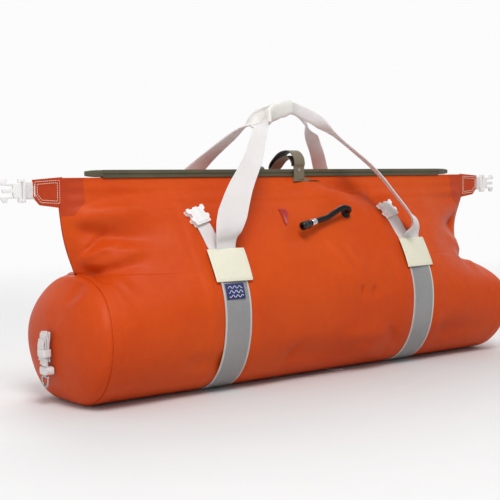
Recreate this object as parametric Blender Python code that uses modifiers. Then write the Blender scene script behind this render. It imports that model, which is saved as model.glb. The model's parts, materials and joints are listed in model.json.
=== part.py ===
"""Welded roll-up dry duffel, built as separate pieces.

Metres, +Z up. X runs along the bag, the front faces -Y and the floor is z = 0.
The bag stands on its two webbing bands, with its mouth closed and its handles raised.
"""
import math

import bmesh
import bpy
from mathutils import Matrix, Vector

# ---- clearances -----------------------------------------------------------------
GAP = 0.0005               # between any two neighbours that touch on the real bag
RUNNING_GAP = 0.0004       # round a piece that turns or slides on another

# ---- shell ----------------------------------------------------------------------
BARREL_HEIGHT = 0.189      # end caps, bottom to top
BARREL_DEPTH = 0.240       # widest, front to back
SEAM_SPACING = 0.854       # between the two end seams
CAP_BULGE = 0.036          # how far each end cap swells past its seam
BAG_HEIGHT = 0.347         # floor to the top of the press seal
WIDEST_HEIGHT = 0.125      # where the middle of the bag is deepest
THROAT_FLARE = 0.020       # how far each welded end of the throat reaches past the end seam
FOOT_WIDTH = 0.060         # flat strip the bag stands on
CAP_FLANGE = 0.006         # welded rim between the barrel and each cap
LIP_END_WALL = 0.006       # welded end of each lip
SHELL_WALL = 0.003         # coated fabric, thickened for a closed solid
WELD_THICKNESS = 0.007     # flat welded edge of the throat
CAVITY_NARROWS = 0.2       # share of the throat's height where the hollow narrows
COLUMNS = 28               # facets along the bag
ROWS_BARREL = 14           # facets up the barrel
ROWS_THROAT = 9            # facets up the throat

# ---- mouth ----------------------------------------------------------------------
MOUTH_BASE = 0.295         # where the lips start to fold outward
LIP_LENGTH = 0.740         # length of the part of the mouth that opens
SEAL_HEIGHT = 0.011
SEAL_THICKNESS = 0.0042    # one of the two strips
SEAL_LENGTH = 0.790        # including the end stops

# ---- webbing --------------------------------------------------------------------
WEB_THICKNESS = 0.0016
BAND_WIDTH = 0.050
BAND_SPACING = 0.410       # centre to centre
PATCH_WIDTH = 0.066
PATCH_LOW = 0.174
PATCH_HIGH = 0.222
HANDLE_WIDTH = 0.046
HANDLE_THICKNESS = 0.0024
HANDLE_STAND = 0.009       # centre line off the face, over the patch and the buckle's web
GRIP_THICKNESS = 0.005
GRIP_HEIGHT = 0.026
HANDLE_STEPS = 40          # facets along the strap
GRIP_START = 14            # facet of the strap where the grip starts
GRIP_STEPS = 6
APEX_HEIGHT = 0.452        # of the strap's centre line

# ---- end tabs and male buckles ---------------------------------------------------
TAB_LENGTH = 0.037
TAB_THICKNESS = 0.003
TAB_HEIGHT = 0.040
BUCKLE_WIDTH = 0.034
BUCKLE_THICKNESS = 0.006
BUCKLE_WEB_WIDTH = 0.025
TAB_WEB_LENGTH = 0.012
MALE_BASE_LENGTH = 0.011
MALE_STEM_LENGTH = 0.008
MALE_ARM_LENGTH = 0.019
MALE_ARM_WIDTH = 0.0045
MALE_GUIDE_WIDTH = 0.006

# ---- female buckles on the front --------------------------------------------------
FEMALE_LENGTH = 0.030
FEMALE_BASE = 0.009        # solid end that holds the web
FEMALE_WALL = 0.0016
FEMALE_THICKNESS = 0.0095
FRONT_WEB_LENGTH = 0.034
FRONT_BUCKLE_LEAN = 14.0   # degrees, both lean towards -X
FRONT_BUCKLE_OFFSET = 0.022

# ---- pull loops -------------------------------------------------------------------
LOOP_WIDTH = 0.020
LOOP_FOOT_WIDTH = 0.054
LOOP_FOOT_SHIFT = 0.012    # the front foot flares towards +X
LOOP_FOOT_GAP = 0.0013     # foot's top under the hinge line, so the turning end clears it
FRONT_LOOP_LIFT = 0.003    # hinge line over the top of the seal
BACK_LOOP_LIFT = 0.0005
LOOP_THICKNESS = 0.002
LOOP_STAND = 0.0045        # the stiff foot stands this far off the lip's facets
FRONT_LOOP_X = 0.015
BACK_LOOP_X = -0.062
RIVET_RADIUS = 0.0028
RIVET_HEIGHT = 0.0012

# ---- valve ------------------------------------------------------------------------
TUBE_RADIUS = 0.0042
BOOT_RADIUS = 0.008
RING_RADIUS = 0.0064
RING_LENGTH = 0.011
MOUTHPIECE_RADIUS = 0.0072
MOUTHPIECE_LENGTH = 0.019
MOUTHPIECE_TRAVEL = 0.004

# ---- lash points ------------------------------------------------------------------
LASH_HEIGHT = 0.052
LASH_WIDTH = 0.022
LASH_THICKNESS = 0.011
KEEPER_HEIGHT = 0.012
RING_WIRE_RADIUS = 0.0016
D_RING_WIDTH = 0.018
D_RING_DROP = 0.016

# ---- worked out from the sizes above -----------------------------------------------
BAG_FLOOR = WEB_THICKNESS + GAP
CAP_RADIUS = BARREL_HEIGHT / 2
PINCH_HEIGHT = BAG_FLOOR + BARREL_HEIGHT
CAP_TOP = PINCH_HEIGHT - CAP_FLANGE
SEAM_X = SEAM_SPACING / 2
THROAT_LENGTH = SEAM_SPACING + 2 * THROAT_FLARE   # between the welded ends at the top
THROAT_X = THROAT_LENGTH / 2
LIP_X = LIP_LENGTH / 2
LIP_TOP = BAG_HEIGHT - SEAL_HEIGHT - GAP
BAND_X = BAND_SPACING / 2
HINGE_Z = PATCH_HIGH + 0.008
FACE_STACK = GAP + WEB_THICKNESS   # one layer of webbing lying on the shell

ORANGE = (0.60, 0.10, 0.02)
OLIVE = (0.10, 0.09, 0.045)
LOOP_OLIVE = (0.20, 0.17, 0.10)
WHITE = (0.83, 0.81, 0.80)
CREAM = (0.80, 0.78, 0.66)
GREY = (0.31, 0.31, 0.30)


# ---- scene helpers ----------------------------------------------------------------
def clear_scene():
    for obj in list(bpy.data.objects):
        bpy.data.objects.remove(obj, do_unlink=True)


def make_material(name, colour, roughness, metallic=0.0):
    material = bpy.data.materials.new(name)
    material.use_nodes = True
    shader = material.node_tree.nodes["Principled BSDF"]
    shader.inputs["Base Color"].default_value = (*colour, 1.0)
    shader.inputs["Roughness"].default_value = roughness
    shader.inputs["Metallic"].default_value = metallic
    return material


def make_cutter_collection():
    collection = bpy.data.collections.new("cutters")
    bpy.context.scene.collection.children.link(collection)
    return collection


def object_from_bmesh(name, bm, material=None, collection=None):
    """Close a bmesh into a named object with outward normals."""
    bmesh.ops.recalc_face_normals(bm, faces=bm.faces)
    if bm.calc_volume(signed=True) < 0:
        bmesh.ops.reverse_faces(bm, faces=bm.faces)
    mesh = bpy.data.meshes.new(name)
    bm.to_mesh(mesh)
    bm.free()
    obj = bpy.data.objects.new(name, mesh)
    if material is not None:
        mesh.materials.append(material)
    (collection or bpy.context.scene.collection).objects.link(obj)
    return obj


def sliced_box(u_steps, v_steps):
    """A unit cube cut into u_steps by v_steps strips, its corner at the origin."""
    bm = bmesh.new()
    bmesh.ops.create_cube(bm, size=1.0, matrix=Matrix.Translation((0.5, 0.5, 0.5)))
    for axis, steps in ((0, u_steps), (1, v_steps)):
        normal = Vector((0, 0, 0))
        normal[axis] = 1.0
        for step in range(1, steps):
            everything = bm.verts[:] + bm.edges[:] + bm.faces[:]
            bmesh.ops.bisect_plane(bm, geom=everything, plane_co=normal * (step / steps),
                                   plane_no=normal, dist=1e-6)
    return bm


def mapped_box(name, u_steps, v_steps, place, material=None, collection=None):
    """Bend a sliced cube: place(u, v, w) gives each corner's position.

    A bent square isn't flat, so it is split into triangles before anything cuts it.
    """
    bm = sliced_box(u_steps, v_steps)
    for vert in bm.verts:
        vert.co = Vector(place(*vert.co))
    if u_steps * v_steps > 1:
        bmesh.ops.triangulate(bm, faces=bm.faces)
    return object_from_bmesh(name, bm, material, collection)


def box_object(name, low, high, material=None, collection=None):
    size = [high[i] - low[i] for i in range(3)]
    return mapped_box(name, 1, 1, lambda u, v, w: (low[0] + u * size[0], low[1] + v * size[1],
                                                   low[2] + w * size[2]), material, collection)


def cutter_box(name, low, high):
    obj = box_object(name, low, high, collection=CUTTERS)
    return hide_cutter(obj)


def hide_cutter(obj):
    obj.hide_render = True
    obj.display_type = "WIRE"
    return obj


def cut(obj, tool, operation="DIFFERENCE"):
    modifier = obj.modifiers.new(operation.lower(), "BOOLEAN")
    modifier.operation = operation
    modifier.solver = "EXACT"
    modifier.object = tool


def turned(name, profile, material, steps=20):
    """Turn a closed (radius, height) profile about Z with a Screw modifier."""
    bm = bmesh.new()
    verts = [bm.verts.new((radius, 0.0, height)) for radius, height in profile]
    for first, second in zip(verts, verts[1:] + verts[:1]):
        if first.co.x > 0 or second.co.x > 0:
            bm.edges.new((first, second))
    mesh = bpy.data.meshes.new(name)
    bm.to_mesh(mesh)
    bm.free()
    mesh.materials.append(material)
    obj = bpy.data.objects.new(name, mesh)
    bpy.context.scene.collection.objects.link(obj)
    screw = obj.modifiers.new("turn", "SCREW")
    screw.axis = "Z"
    screw.steps = steps
    screw.render_steps = steps
    screw.use_merge_vertices = True
    screw.merge_threshold = 0.00001
    screw.use_normal_flip = True
    return obj


def aim(obj, location, direction):
    """Place a turned object with its Z axis along a direction."""
    obj.location = location
    obj.rotation_mode = "QUATERNION"
    obj.rotation_quaternion = Vector(direction).to_track_quat("Z", "Y")
    return obj


def wire(name, points, radius, material, cyclic=False, resolution=2):
    """A round rod along a polyline."""
    curve = bpy.data.curves.new(name, "CURVE")
    curve.dimensions = "3D"
    curve.bevel_depth = radius
    curve.bevel_resolution = resolution
    curve.use_fill_caps = not cyclic
    spline = curve.splines.new("POLY")
    spline.points.add(len(points) - 1)
    for point, position in zip(spline.points, points):
        point.co = (*position, 1.0)
    spline.use_cyclic_u = cyclic
    curve.materials.append(material)
    obj = bpy.data.objects.new(name, curve)
    bpy.context.scene.collection.objects.link(obj)
    return obj


def plate(name, outline, thickness, material):
    """A flat outline in XZ, thickened evenly to both sides of y = 0."""
    curve = bpy.data.curves.new(name, "CURVE")
    curve.dimensions = "2D"
    curve.fill_mode = "BOTH"
    curve.extrude = thickness / 2
    spline = curve.splines.new("POLY")
    spline.points.add(len(outline) - 1)
    for point, (x, z) in zip(spline.points, outline):
        point.co = (x, z, 0.0, 1.0)
    spline.use_cyclic_u = True
    outline_object = bpy.data.objects.new(name + "_outline", curve)
    mesh = bpy.data.meshes.new_from_object(outline_object)
    mesh.transform(Matrix.Rotation(math.pi / 2, 4, "X"))
    bpy.data.objects.remove(outline_object, do_unlink=True)
    mesh.materials.append(material)
    obj = bpy.data.objects.new(name, mesh)
    bpy.context.scene.collection.objects.link(obj)
    return obj


# ---- the shape of the shell ---------------------------------------------------------
def round_share(value):
    """Height of a unit quarter circle, zero outside it."""
    return math.sqrt(max(0.0, 1.0 - value * value))


def barrel_half_depth(z):
    """Half depth of the barrel at its end seams: an ellipse on a flat foot."""
    if z >= PINCH_HEIGHT:
        return 0.0
    share = round_share((z - BAG_FLOOR - CAP_RADIUS) / CAP_RADIUS)
    foot = FOOT_WIDTH / 2 if z < BAG_FLOOR + CAP_RADIUS else 0.0
    return foot + (BARREL_DEPTH / 2 - foot) * share


def middle_half_depth(z):
    """Half depth halfway along: rounded below, drawn in to the seal above."""
    if z < WIDEST_HEIGHT:
        share = (WIDEST_HEIGHT - z) / (WIDEST_HEIGHT - BAG_FLOOR)
        round_part = (1.0 - min(1.0, share) ** 2.2) ** (1 / 2.2)
        return FOOT_WIDTH / 2 + (BARREL_DEPTH - FOOT_WIDTH) / 2 * round_part
    share = min(1.0, (z - WIDEST_HEIGHT) / (LIP_TOP - WIDEST_HEIGHT))
    return BARREL_DEPTH / 2 * (1.0 - share ** 2.0) ** 1.2


def shell_reach(z):
    """Half length of the shell at a height: the cap's bulge, then the welded throat."""
    if z < PINCH_HEIGHT:
        bulge = (CAP_BULGE - CAP_FLANGE) * round_share((z - BAG_FLOOR - CAP_RADIUS) / CAP_RADIUS)
        return SEAM_X + CAP_FLANGE + bulge
    share = (z - PINCH_HEIGHT) / (LIP_TOP - PINCH_HEIGHT)
    return SEAM_X + CAP_FLANGE + (THROAT_X - SEAM_X - CAP_FLANGE) * share ** 0.6


def half_depth(x, z):
    """Half depth of the shell: front and back are mirror images."""
    along = abs(x)
    barrel = barrel_half_depth(z)
    if z < PINCH_HEIGHT and along > SEAM_X:
        past = (along - SEAM_X) / (shell_reach(z) - SEAM_X)
        return max(WELD_THICKNESS / 2, barrel * round_share(min(1.0, past)))
    limit = SEAM_X if z < PINCH_HEIGHT else shell_reach(z)
    fade = 1.0 - min(1.0, along / limit) ** 4
    return max(WELD_THICKNESS / 2, barrel + (middle_half_depth(z) - barrel) * fade)


def row_height(share, top):
    """Rows of facets: close together where the barrel curves, even up the throat."""
    barrel_share = ROWS_BARREL / (ROWS_BARREL + ROWS_THROAT)
    if share <= barrel_share:
        angle = math.pi * share / barrel_share
        return BAG_FLOOR + CAP_RADIUS * (1.0 - math.cos(angle))
    rise = (share - barrel_share) / (1.0 - barrel_share)
    return PINCH_HEIGHT + (top - PINCH_HEIGHT) * rise


def column_place(share, z):
    """Columns of facets: even along the barrel, close together on the caps."""
    side = 2.0 * share - 1.0
    cap_columns = 5
    cap_start = SEAM_X - CAP_FLANGE
    barrel_share = 1.0 - 2.0 * cap_columns / COLUMNS
    if abs(side) <= barrel_share:
        return side / barrel_share * cap_start
    past = (abs(side) - barrel_share) / (1.0 - barrel_share)
    rounded = math.sin(past * math.pi / 2)
    return math.copysign(cap_start + (shell_reach(z) - cap_start) * rounded, side)


def place_shell(u, v, w):
    z = row_height(v, LIP_TOP)
    x = column_place(u, z)
    return x, (2.0 * w - 1.0) * half_depth(x, z), z


def place_cavity(u, v, w):
    """The inside: the shell drawn in by its wall, open past the top of the lips."""
    z = row_height(v, LIP_TOP)
    reach = shell_reach(z) - 2.0 * SHELL_WALL
    share = (z - PINCH_HEIGHT) / (MOUTH_BASE - PINCH_HEIGHT)
    if share > CAVITY_NARROWS:
        narrowed = min(1.0, (share - CAVITY_NARROWS) / (1.0 - CAVITY_NARROWS))
        reach += (LIP_X - LIP_END_WALL - reach) * narrowed
    x = column_place(u, z) * reach / shell_reach(z)
    y = (2.0 * w - 1.0) * max(0.6 * GAP, half_depth(x, z) - SHELL_WALL)
    return x, y, cavity_height(z)


def cavity_height(z):
    """Draw a row in towards the middle of the barrel; the top row runs out of the mouth."""
    centre = BAG_FLOOR + CAP_RADIUS
    if z <= PINCH_HEIGHT:
        return centre + (z - centre) * (1.0 - SHELL_WALL / CAP_RADIUS)
    rise = (z - PINCH_HEIGHT) / (LIP_TOP - PINCH_HEIGHT)
    if rise > 0.999:
        return LIP_TOP + SEAL_HEIGHT
    return z - SHELL_WALL * (1.0 - rise)


def face_point(x, z, side, lift):
    """A point lifted off the shell's front (side -1) or back (side 1) along its normal."""
    step = 0.002
    slope = (half_depth(x, z + step) - half_depth(x, z - step)) / (2 * step)
    normal = Vector((0.0, side, -slope)).normalized()
    return Vector((x, side * half_depth(x, z), z)) + normal * lift


def face_normal(x, z, side):
    return (face_point(x, z, side, 1.0) - face_point(x, z, side, 0.0)).normalized()


def face_patch(name, x_range, z_range, side, lift, thickness, material, steps=(4, 4)):
    """A thin pad that lies on the shell's face."""
    def place(u, v, w):
        x = x_range[0] + u * (x_range[1] - x_range[0])
        z = z_range[0] + v * (z_range[1] - z_range[0])
        return face_point(x, z, side, lift + w * thickness)
    return mapped_box(name, steps[0], steps[1], place, material)


# ---- straps --------------------------------------------------------------------------
def on_path(points, share):
    """A smooth curve through the points (Catmull-Rom), share from 0 to 1."""
    spans = len(points) - 1
    position = min(max(share, 0.0), 1.0) * spans
    index = min(int(position), spans - 1)
    t = position - index
    p1, p2 = points[index], points[index + 1]
    p0 = points[index - 1] if index > 0 else p1 * 2 - p2
    p3 = points[index + 2] if index + 2 <= spans else p2 * 2 - p1
    return 0.5 * (2 * p1 + (p2 - p0) * t + (2 * p0 - 5 * p1 + 4 * p2 - p3) * t * t
                  + (3 * p1 - p0 - 3 * p2 + p3) * t ** 3)


def strap(name, points, across, width_at, thickness, steps, material, lift=0.0, span=(0.0, 1.0)):
    """A flat strap along a smooth path; across(share) is its width direction."""
    route = [Vector(point) for point in points]

    def place(u, v, w):
        share = span[0] + u * (span[1] - span[0])
        ahead = on_path(route, share + 0.002) - on_path(route, share - 0.002)
        wide = Vector(across(share))
        wide = (wide - ahead.normalized() * wide.dot(ahead.normalized())).normalized()
        outward = wide.cross(ahead).normalized()
        return (on_path(route, share) + wide * (v - 0.5) * width_at(share)
                + outward * (lift + (w - 0.5) * thickness))
    return mapped_box(name, steps, 1, place, material)


# ---- shell pieces ----------------------------------------------------------------------
def shell_piece(name, material):
    piece = mapped_box(name, COLUMNS, ROWS_BARREL + ROWS_THROAT, place_shell, material)
    cut(piece, CAVITY)
    return piece


def build_shell(orange):
    """Body, two end caps and two lips, all cut from the same hollow shell."""
    far = 1.0
    mouth = cutter_box("mouth_cutter", (-LIP_X - GAP, -far, MOUTH_BASE - GAP), (LIP_X + GAP, far, far))
    body = shell_piece("bag_body", orange)
    cut(body, mouth)
    for side, word in ((-1, "left"), (1, "right")):
        inner = (SEAM_X - GAP / 2) * side
        outer = far * side
        low, high = min(inner, outer), max(inner, outer)
        room = cutter_box(word + "_cap_room", (low, -far, -far), (high, far, CAP_TOP + GAP))
        cut(body, room)
        cap = shell_piece(word + "_end_cap", orange)
        keep_inner = (SEAM_X + GAP / 2) * side
        low, high = min(keep_inner, outer), max(keep_inner, outer)
        keep = cutter_box(word + "_cap_keep", (low, -far, -far), (high, far, CAP_TOP))
        cut(cap, keep, "INTERSECT")
    for side, word in ((-1, "front"), (1, "back")):
        lip = shell_piece(word + "_lip", orange)
        inner, outer = side * GAP / 2, side * far
        low, high = min(inner, outer), max(inner, outer)
        keep = cutter_box(word + "_lip_keep", (-LIP_X, low, MOUTH_BASE), (LIP_X, high, far))
        cut(lip, keep, "INTERSECT")


def build_seal(olive):
    bottom = BAG_HEIGHT - SEAL_HEIGHT
    for side, word in ((-1, "front"), (1, "back")):
        def place(u, v, w, side=side):
            x = (2 * u - 1) * LIP_X
            y = side * (GAP / 2 + w * SEAL_THICKNESS)
            chamfer = 0.0012 if w > 0.5 and v in (0.0, 1.0) else 0.0
            return x, y, bottom + v * SEAL_HEIGHT + (chamfer if v < 0.5 else -chamfer)
        mapped_box(word + "_seal_strip", 2, 3, place, olive)
    for side, word in ((-1, "left"), (1, "right")):
        inner, outer = side * (LIP_X + GAP), side * SEAL_LENGTH / 2
        low, high = min(inner, outer), max(inner, outer)
        box_object(word + "_seal_end", (low, -SEAL_THICKNESS, bottom),
                   (high, SEAL_THICKNESS, BAG_HEIGHT), olive)


# ---- bands, patches and handles ---------------------------------------------------------
def band_point(x, share, lift):
    """Round the bag's section: front patch (0), under the bag, back patch (1)."""
    rows = ROWS_BARREL + ROWS_THROAT
    top_row = 14
    foot = 2
    steps = 2 * top_row + foot
    place = share * steps
    if place <= top_row or place >= top_row + foot:
        side = -1 if place <= top_row else 1
        row = top_row - place if side < 0 else place - top_row - foot
        z = row_height(row / rows, LIP_TOP)
        if row < 0.5:
            return Vector((x, side * (half_depth(x, z) + lift * 0.5), z - lift))
        return face_point(x, z, side, lift)
    across = (place - top_row) / foot * 2 - 1
    return Vector((x, across * half_depth(x, BAG_FLOOR), BAG_FLOOR - lift))


def build_bands(grey):
    for side, word in ((-1, "left"), (1, "right")):
        def place(u, v, w, side=side):
            x = side * BAND_X + (v - 0.5) * BAND_WIDTH
            return band_point(x, u, GAP + w * WEB_THICKNESS)
        mapped_box(word + "_band", 30, 1, place, grey)


def build_patches(cream):
    for depth_side, depth_word in ((-1, "front"), (1, "back")):
        for side, word in ((-1, "left"), (1, "right")):
            centre = side * BAND_X
            face_patch(f"{depth_word}_{word}_patch",
                       (centre - PATCH_WIDTH / 2, centre + PATCH_WIDTH / 2),
                       (PATCH_LOW, PATCH_HIGH), depth_side, FACE_STACK + 2 * GAP,
                       WEB_THICKNESS, cream, (2, 6))


def handle_route(side):
    """The strap's centre line from the left patch over the apex to the right patch.

    Places along X are shares of the bands' distance, so the legs follow the bands.
    """
    start = half_depth(BAND_X, HINGE_Z) + HANDLE_STAND
    apex_y = side * HANDLE_THICKNESS * 2
    left = [(-BAND_X, side * start, HINGE_Z), (-0.995 * BAND_X, side * 0.097, 0.258),
            (-0.859 * BAND_X, side * 0.087, 0.310), (-0.673 * BAND_X, side * 0.070, 0.356),
            (-0.468 * BAND_X, side * 0.036, 0.402), (-0.293 * BAND_X, side * 0.012, 0.434)]
    top = [(-0.137 * BAND_X, apex_y, APEX_HEIGHT - 0.006), (0.0, apex_y, APEX_HEIGHT),
           (0.117 * BAND_X, apex_y, APEX_HEIGHT - 0.007)]
    right = [(0.283 * BAND_X, side * 0.016, 0.424), (0.468 * BAND_X, side * 0.044, 0.388),
             (0.644 * BAND_X, side * 0.070, 0.350), (0.829 * BAND_X, side * 0.087, 0.304),
             (0.995 * BAND_X, side * 0.097, 0.258), (BAND_X, side * start, HINGE_Z)]
    return left + top + right


def handle_across(share):
    """Width direction: along X at the patches, leaning with the leg, upright at the grip."""
    grip = math.exp(-((share - 0.5) / 0.17) ** 4)
    leg = 1.0 if share < 0.5 else -1.0
    lean = 0.25 * min(1.0, 5.0 * min(share, 1.0 - share))
    return Vector((leg, 0.0, lean)) * (1 - grip) + Vector((0.0, 0.0, 1.0)) * grip


def handle_width(share):
    gathered = math.exp(-((share - 0.5) / 0.20) ** 4)
    return HANDLE_WIDTH + (0.020 - HANDLE_WIDTH) * gathered


def build_handles(white, cream):
    for side, word in ((-1, "front"), (1, "back")):
        route = handle_route(side)
        strap(word + "_handle_strap", route, handle_across, handle_width,
              HANDLE_THICKNESS, HANDLE_STEPS, white)
        outside = HANDLE_THICKNESS / 2 + 2 * GAP + GRIP_THICKNESS / 2
        span = (GRIP_START / HANDLE_STEPS, (GRIP_START + GRIP_STEPS) / HANDLE_STEPS)
        strap(word + "_grip_wrap", route, handle_across, lambda share: GRIP_HEIGHT,
              GRIP_THICKNESS, GRIP_STEPS, cream, lift=side * outside, span=span)


# ---- end tabs and male buckles -----------------------------------------------------------
def build_end_tab(side, word, orange, white):
    inner = THROAT_X + GAP
    outer = inner + TAB_LENGTH
    top = LIP_TOP
    low = top - TAB_HEIGHT
    chamfer = 0.010
    outline = [(inner, low), (outer - chamfer, low + 0.003), (outer, low + chamfer + 0.003),
               (outer, top - 0.003), (inner, top)]
    outline = [(side * x, z) for x, z in outline]
    plate(word + "_end_tab", outline, TAB_THICKNESS, orange)
    middle = buckle_height()
    half = BUCKLE_WEB_WIDTH / 2
    start, end = outer + GAP, male_hinge_x() - BUCKLE_THICKNESS / 2 - GAP
    box_object(word + "_tab_web", (min(side * start, side * end), -WEB_THICKNESS, middle - half),
               (max(side * start, side * end), WEB_THICKNESS, middle + half), white)


def buckle_height():
    return LIP_TOP - TAB_HEIGHT / 2 + 0.002


def male_hinge_x():
    return THROAT_X + GAP + TAB_LENGTH + TAB_WEB_LENGTH


def build_male_buckle(side, word, plastic):
    """Base with its web slot, a stem and a centre guide; the two arms are separate."""
    start = male_hinge_x() + GAP
    base_end = start + MALE_BASE_LENGTH
    stem_end = base_end + MALE_STEM_LENGTH
    guide_end = stem_end + MALE_ARM_LENGTH * 0.85
    half = BUCKLE_WIDTH / 2
    stem_half = BUCKLE_WIDTH * 0.32
    guide_half = MALE_GUIDE_WIDTH / 2
    upper = [(start, half), (base_end, half), (base_end, stem_half), (stem_end, stem_half),
             (stem_end, guide_half), (guide_end, guide_half)]
    middle = buckle_height()
    outline = [(side * x, middle + z) for x, z in upper]
    outline += [(side * x, middle - z) for x, z in reversed(upper)]
    body = plate(word + "_buckle_body", outline, BUCKLE_THICKNESS, plastic)
    slot_half = BUCKLE_WEB_WIDTH / 2
    slot_x = sorted((side * (start + 0.004), side * (start + 0.0075)))
    slot = cutter_box(word + "_buckle_slot", (slot_x[0], -0.1, middle - slot_half),
                      (slot_x[1], 0.1, middle + slot_half))
    cut(body, slot)
    for vertical, level in ((1, "upper"), (-1, "lower")):
        build_latch_arm(side, vertical, f"{word}_{level}_latch_arm", stem_end, middle, plastic)


def build_latch_arm(side, vertical, name, start, middle, plastic):
    root = BUCKLE_WIDTH * 0.32 - MALE_ARM_WIDTH
    begin = start + GAP
    end = start + MALE_ARM_LENGTH
    catch = BUCKLE_WIDTH / 2
    outline = [(begin, root), (end, root + 0.002), (end, root + 0.005),
               (end - 0.004, catch), (end - 0.009, catch), (end - 0.010, root + MALE_ARM_WIDTH),
               (begin, root + MALE_ARM_WIDTH)]
    outline = [(side * x, middle + vertical * z) for x, z in outline]
    plate(name, outline, BUCKLE_THICKNESS - 0.001, plastic)


# ---- female buckles on the front -----------------------------------------------------------
def front_web_place(side, share):
    """Centre line of a front buckle's web: up the face, leaning towards -X."""
    lean = math.radians(FRONT_BUCKLE_LEAN)
    x = side * BAND_X - FRONT_BUCKLE_OFFSET - share * FRONT_WEB_LENGTH * math.sin(lean)
    z = PATCH_HIGH + 0.003 + share * FRONT_WEB_LENGTH * math.cos(lean)
    return x, z


def front_buckle_frame(side):
    """Where the web ends, the buckle's own up direction there, and outward."""
    x, z = front_web_place(side, 1.0)
    outward = face_normal(x, z, -1)
    across = Vector((1.0, 0.0, 0.0))
    up = across.cross(outward).normalized()
    up = Matrix.Rotation(math.radians(FRONT_BUCKLE_LEAN), 3, outward) @ up
    if up.z < 0:
        up = -up
    return face_point(x, z, -1, 2 * GAP), up, outward


def build_front_buckle(side, word, white, plastic):
    lean = math.radians(FRONT_BUCKLE_LEAN)

    def place_web(u, v, w):
        x, z = front_web_place(side, v)
        aside = (u - 0.5) * BUCKLE_WEB_WIDTH
        return face_point(x + aside * math.cos(lean), z + aside * math.sin(lean), -1,
                          2 * GAP + w * WEB_THICKNESS)
    mapped_box(f"front_{word}_buckle_web", 1, 4, place_web, white)

    corner, up, outward = front_buckle_frame(side)
    across = up.cross(outward).normalized()
    start = 3 * GAP

    def place_body(u, v, w, inset=0.0, grow=0.0):
        half = BUCKLE_WIDTH / 2 - inset
        depth = inset + w * (FEMALE_THICKNESS - 2 * inset)
        along = start + grow + u * FEMALE_LENGTH
        return corner + up * along + across * (2 * v - 1) * half + outward * depth
    body = mapped_box(f"front_{word}_buckle_body", 1, 1, place_body, plastic)
    socket = mapped_box(f"front_{word}_socket", 1, 1,
                        lambda u, v, w: place_body(u, v, w, FEMALE_WALL, FEMALE_BASE),
                        collection=CUTTERS)
    cut(body, hide_cutter(socket))

    def place_window(u, v, w):
        along = start + FEMALE_BASE + 0.004 + u * 0.008
        depth = 2 * FEMALE_WALL + w * (FEMALE_THICKNESS - 4 * FEMALE_WALL)
        return corner + up * along + across * (2 * v - 1) * BUCKLE_WIDTH + outward * depth
    window = mapped_box(f"front_{word}_window", 1, 1, place_window, collection=CUTTERS)
    cut(body, hide_cutter(window))


# ---- pull loops ------------------------------------------------------------------------
def loop_hinge(side):
    """Y and z where the free part of a loop starts to bend, just outside the seal strip."""
    lift = FRONT_LOOP_LIFT if side < 0 else BACK_LOOP_LIFT
    return side * (GAP + SEAL_THICKNESS + LOOP_THICKNESS), BAG_HEIGHT + lift


def foot_width(share):
    flare = max(0.0, 1.0 - 2.0 * share)
    return LOOP_WIDTH + (LOOP_FOOT_WIDTH - LOOP_WIDTH) * flare ** 2


def build_loop_foot(side, word, x, shift, olive, steel):
    """The sewn foot: flared on the lip's face, then up in front of the seal strip."""
    lift = LOOP_STAND + LOOP_THICKNESS / 2
    y, hinge_z = loop_hinge(side)
    foot_top = hinge_z - LOOP_FOOT_GAP
    route = [face_point(x + shift, LIP_TOP - 0.017, side, lift),
             face_point(x + shift * 0.4, LIP_TOP - 0.006, side, lift),
             (x, y * 1.1, LIP_TOP + 0.004), (x, y, foot_top)]
    strap(word + "_loop_foot", route, lambda share: (1.0, 0.0, 0.0), foot_width,
          LOOP_THICKNESS, 14, olive)
    profile = [(0.0, 0.0), (RIVET_RADIUS, 0.0), (RIVET_RADIUS * 0.7, RIVET_HEIGHT),
               (0.0, RIVET_HEIGHT)]
    rivet = turned(word + "_loop_rivet", profile, steel, 12)
    face = y + side * (LOOP_THICKNESS / 2 + 2.5 * GAP)
    aim(rivet, (x, face, foot_top - RIVET_RADIUS * 1.2), (0, side, 0))


def build_pull_loops(olive, steel):
    """Each free loop bends back on itself: up, over towards the back and home again."""
    build_loop_foot(-1, "front", FRONT_LOOP_X, LOOP_FOOT_SHIFT, olive, steel)
    build_loop_foot(1, "back", BACK_LOOP_X, 0.0, olive, steel)
    top = BAG_HEIGHT
    y, hinge_z = loop_hinge(-1)
    bow = [(y, hinge_z + RUNNING_GAP), (y - 0.001, hinge_z + 0.006), (y + 0.004, top + 0.020),
           (0.010, top + 0.0275), (0.032, top + 0.023), (0.049, top + 0.009),
           (0.053, top + 0.001), (0.048, top + 0.003), (0.034, top + 0.013),
           (0.014, top + 0.019), (0.001, top + 0.012), (-0.002, top + 0.005)]
    strap("front_pull_loop", [(FRONT_LOOP_X, y, z) for y, z in bow],
          lambda share: (1.0, 0.0, 0.0), lambda share: LOOP_WIDTH, LOOP_THICKNESS, 44, olive)
    y, hinge_z = loop_hinge(1)
    bow = [(y, hinge_z + RUNNING_GAP), (y + 0.004, hinge_z + 0.003), (y + 0.014, top + 0.0055),
           (y + 0.032, top + 0.004), (y + 0.048, top - 0.010), (y + 0.051, top - 0.024),
           (y + 0.046, top - 0.026), (y + 0.038, top - 0.014), (y + 0.026, top - 0.006),
           (y + 0.014, top - 0.004)]
    strap("back_pull_loop", [(BACK_LOOP_X, y, z) for y, z in bow],
          lambda share: (1.0, 0.0, 0.0), lambda share: LOOP_WIDTH, LOOP_THICKNESS, 40, olive)


# ---- valve ---------------------------------------------------------------------------------------
VALVE_FOOT = (0.076, 0.268)      # x and z of the boot's centre on the front face
VALVE_STAND = 0.016              # how far the tube stands off the face


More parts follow.
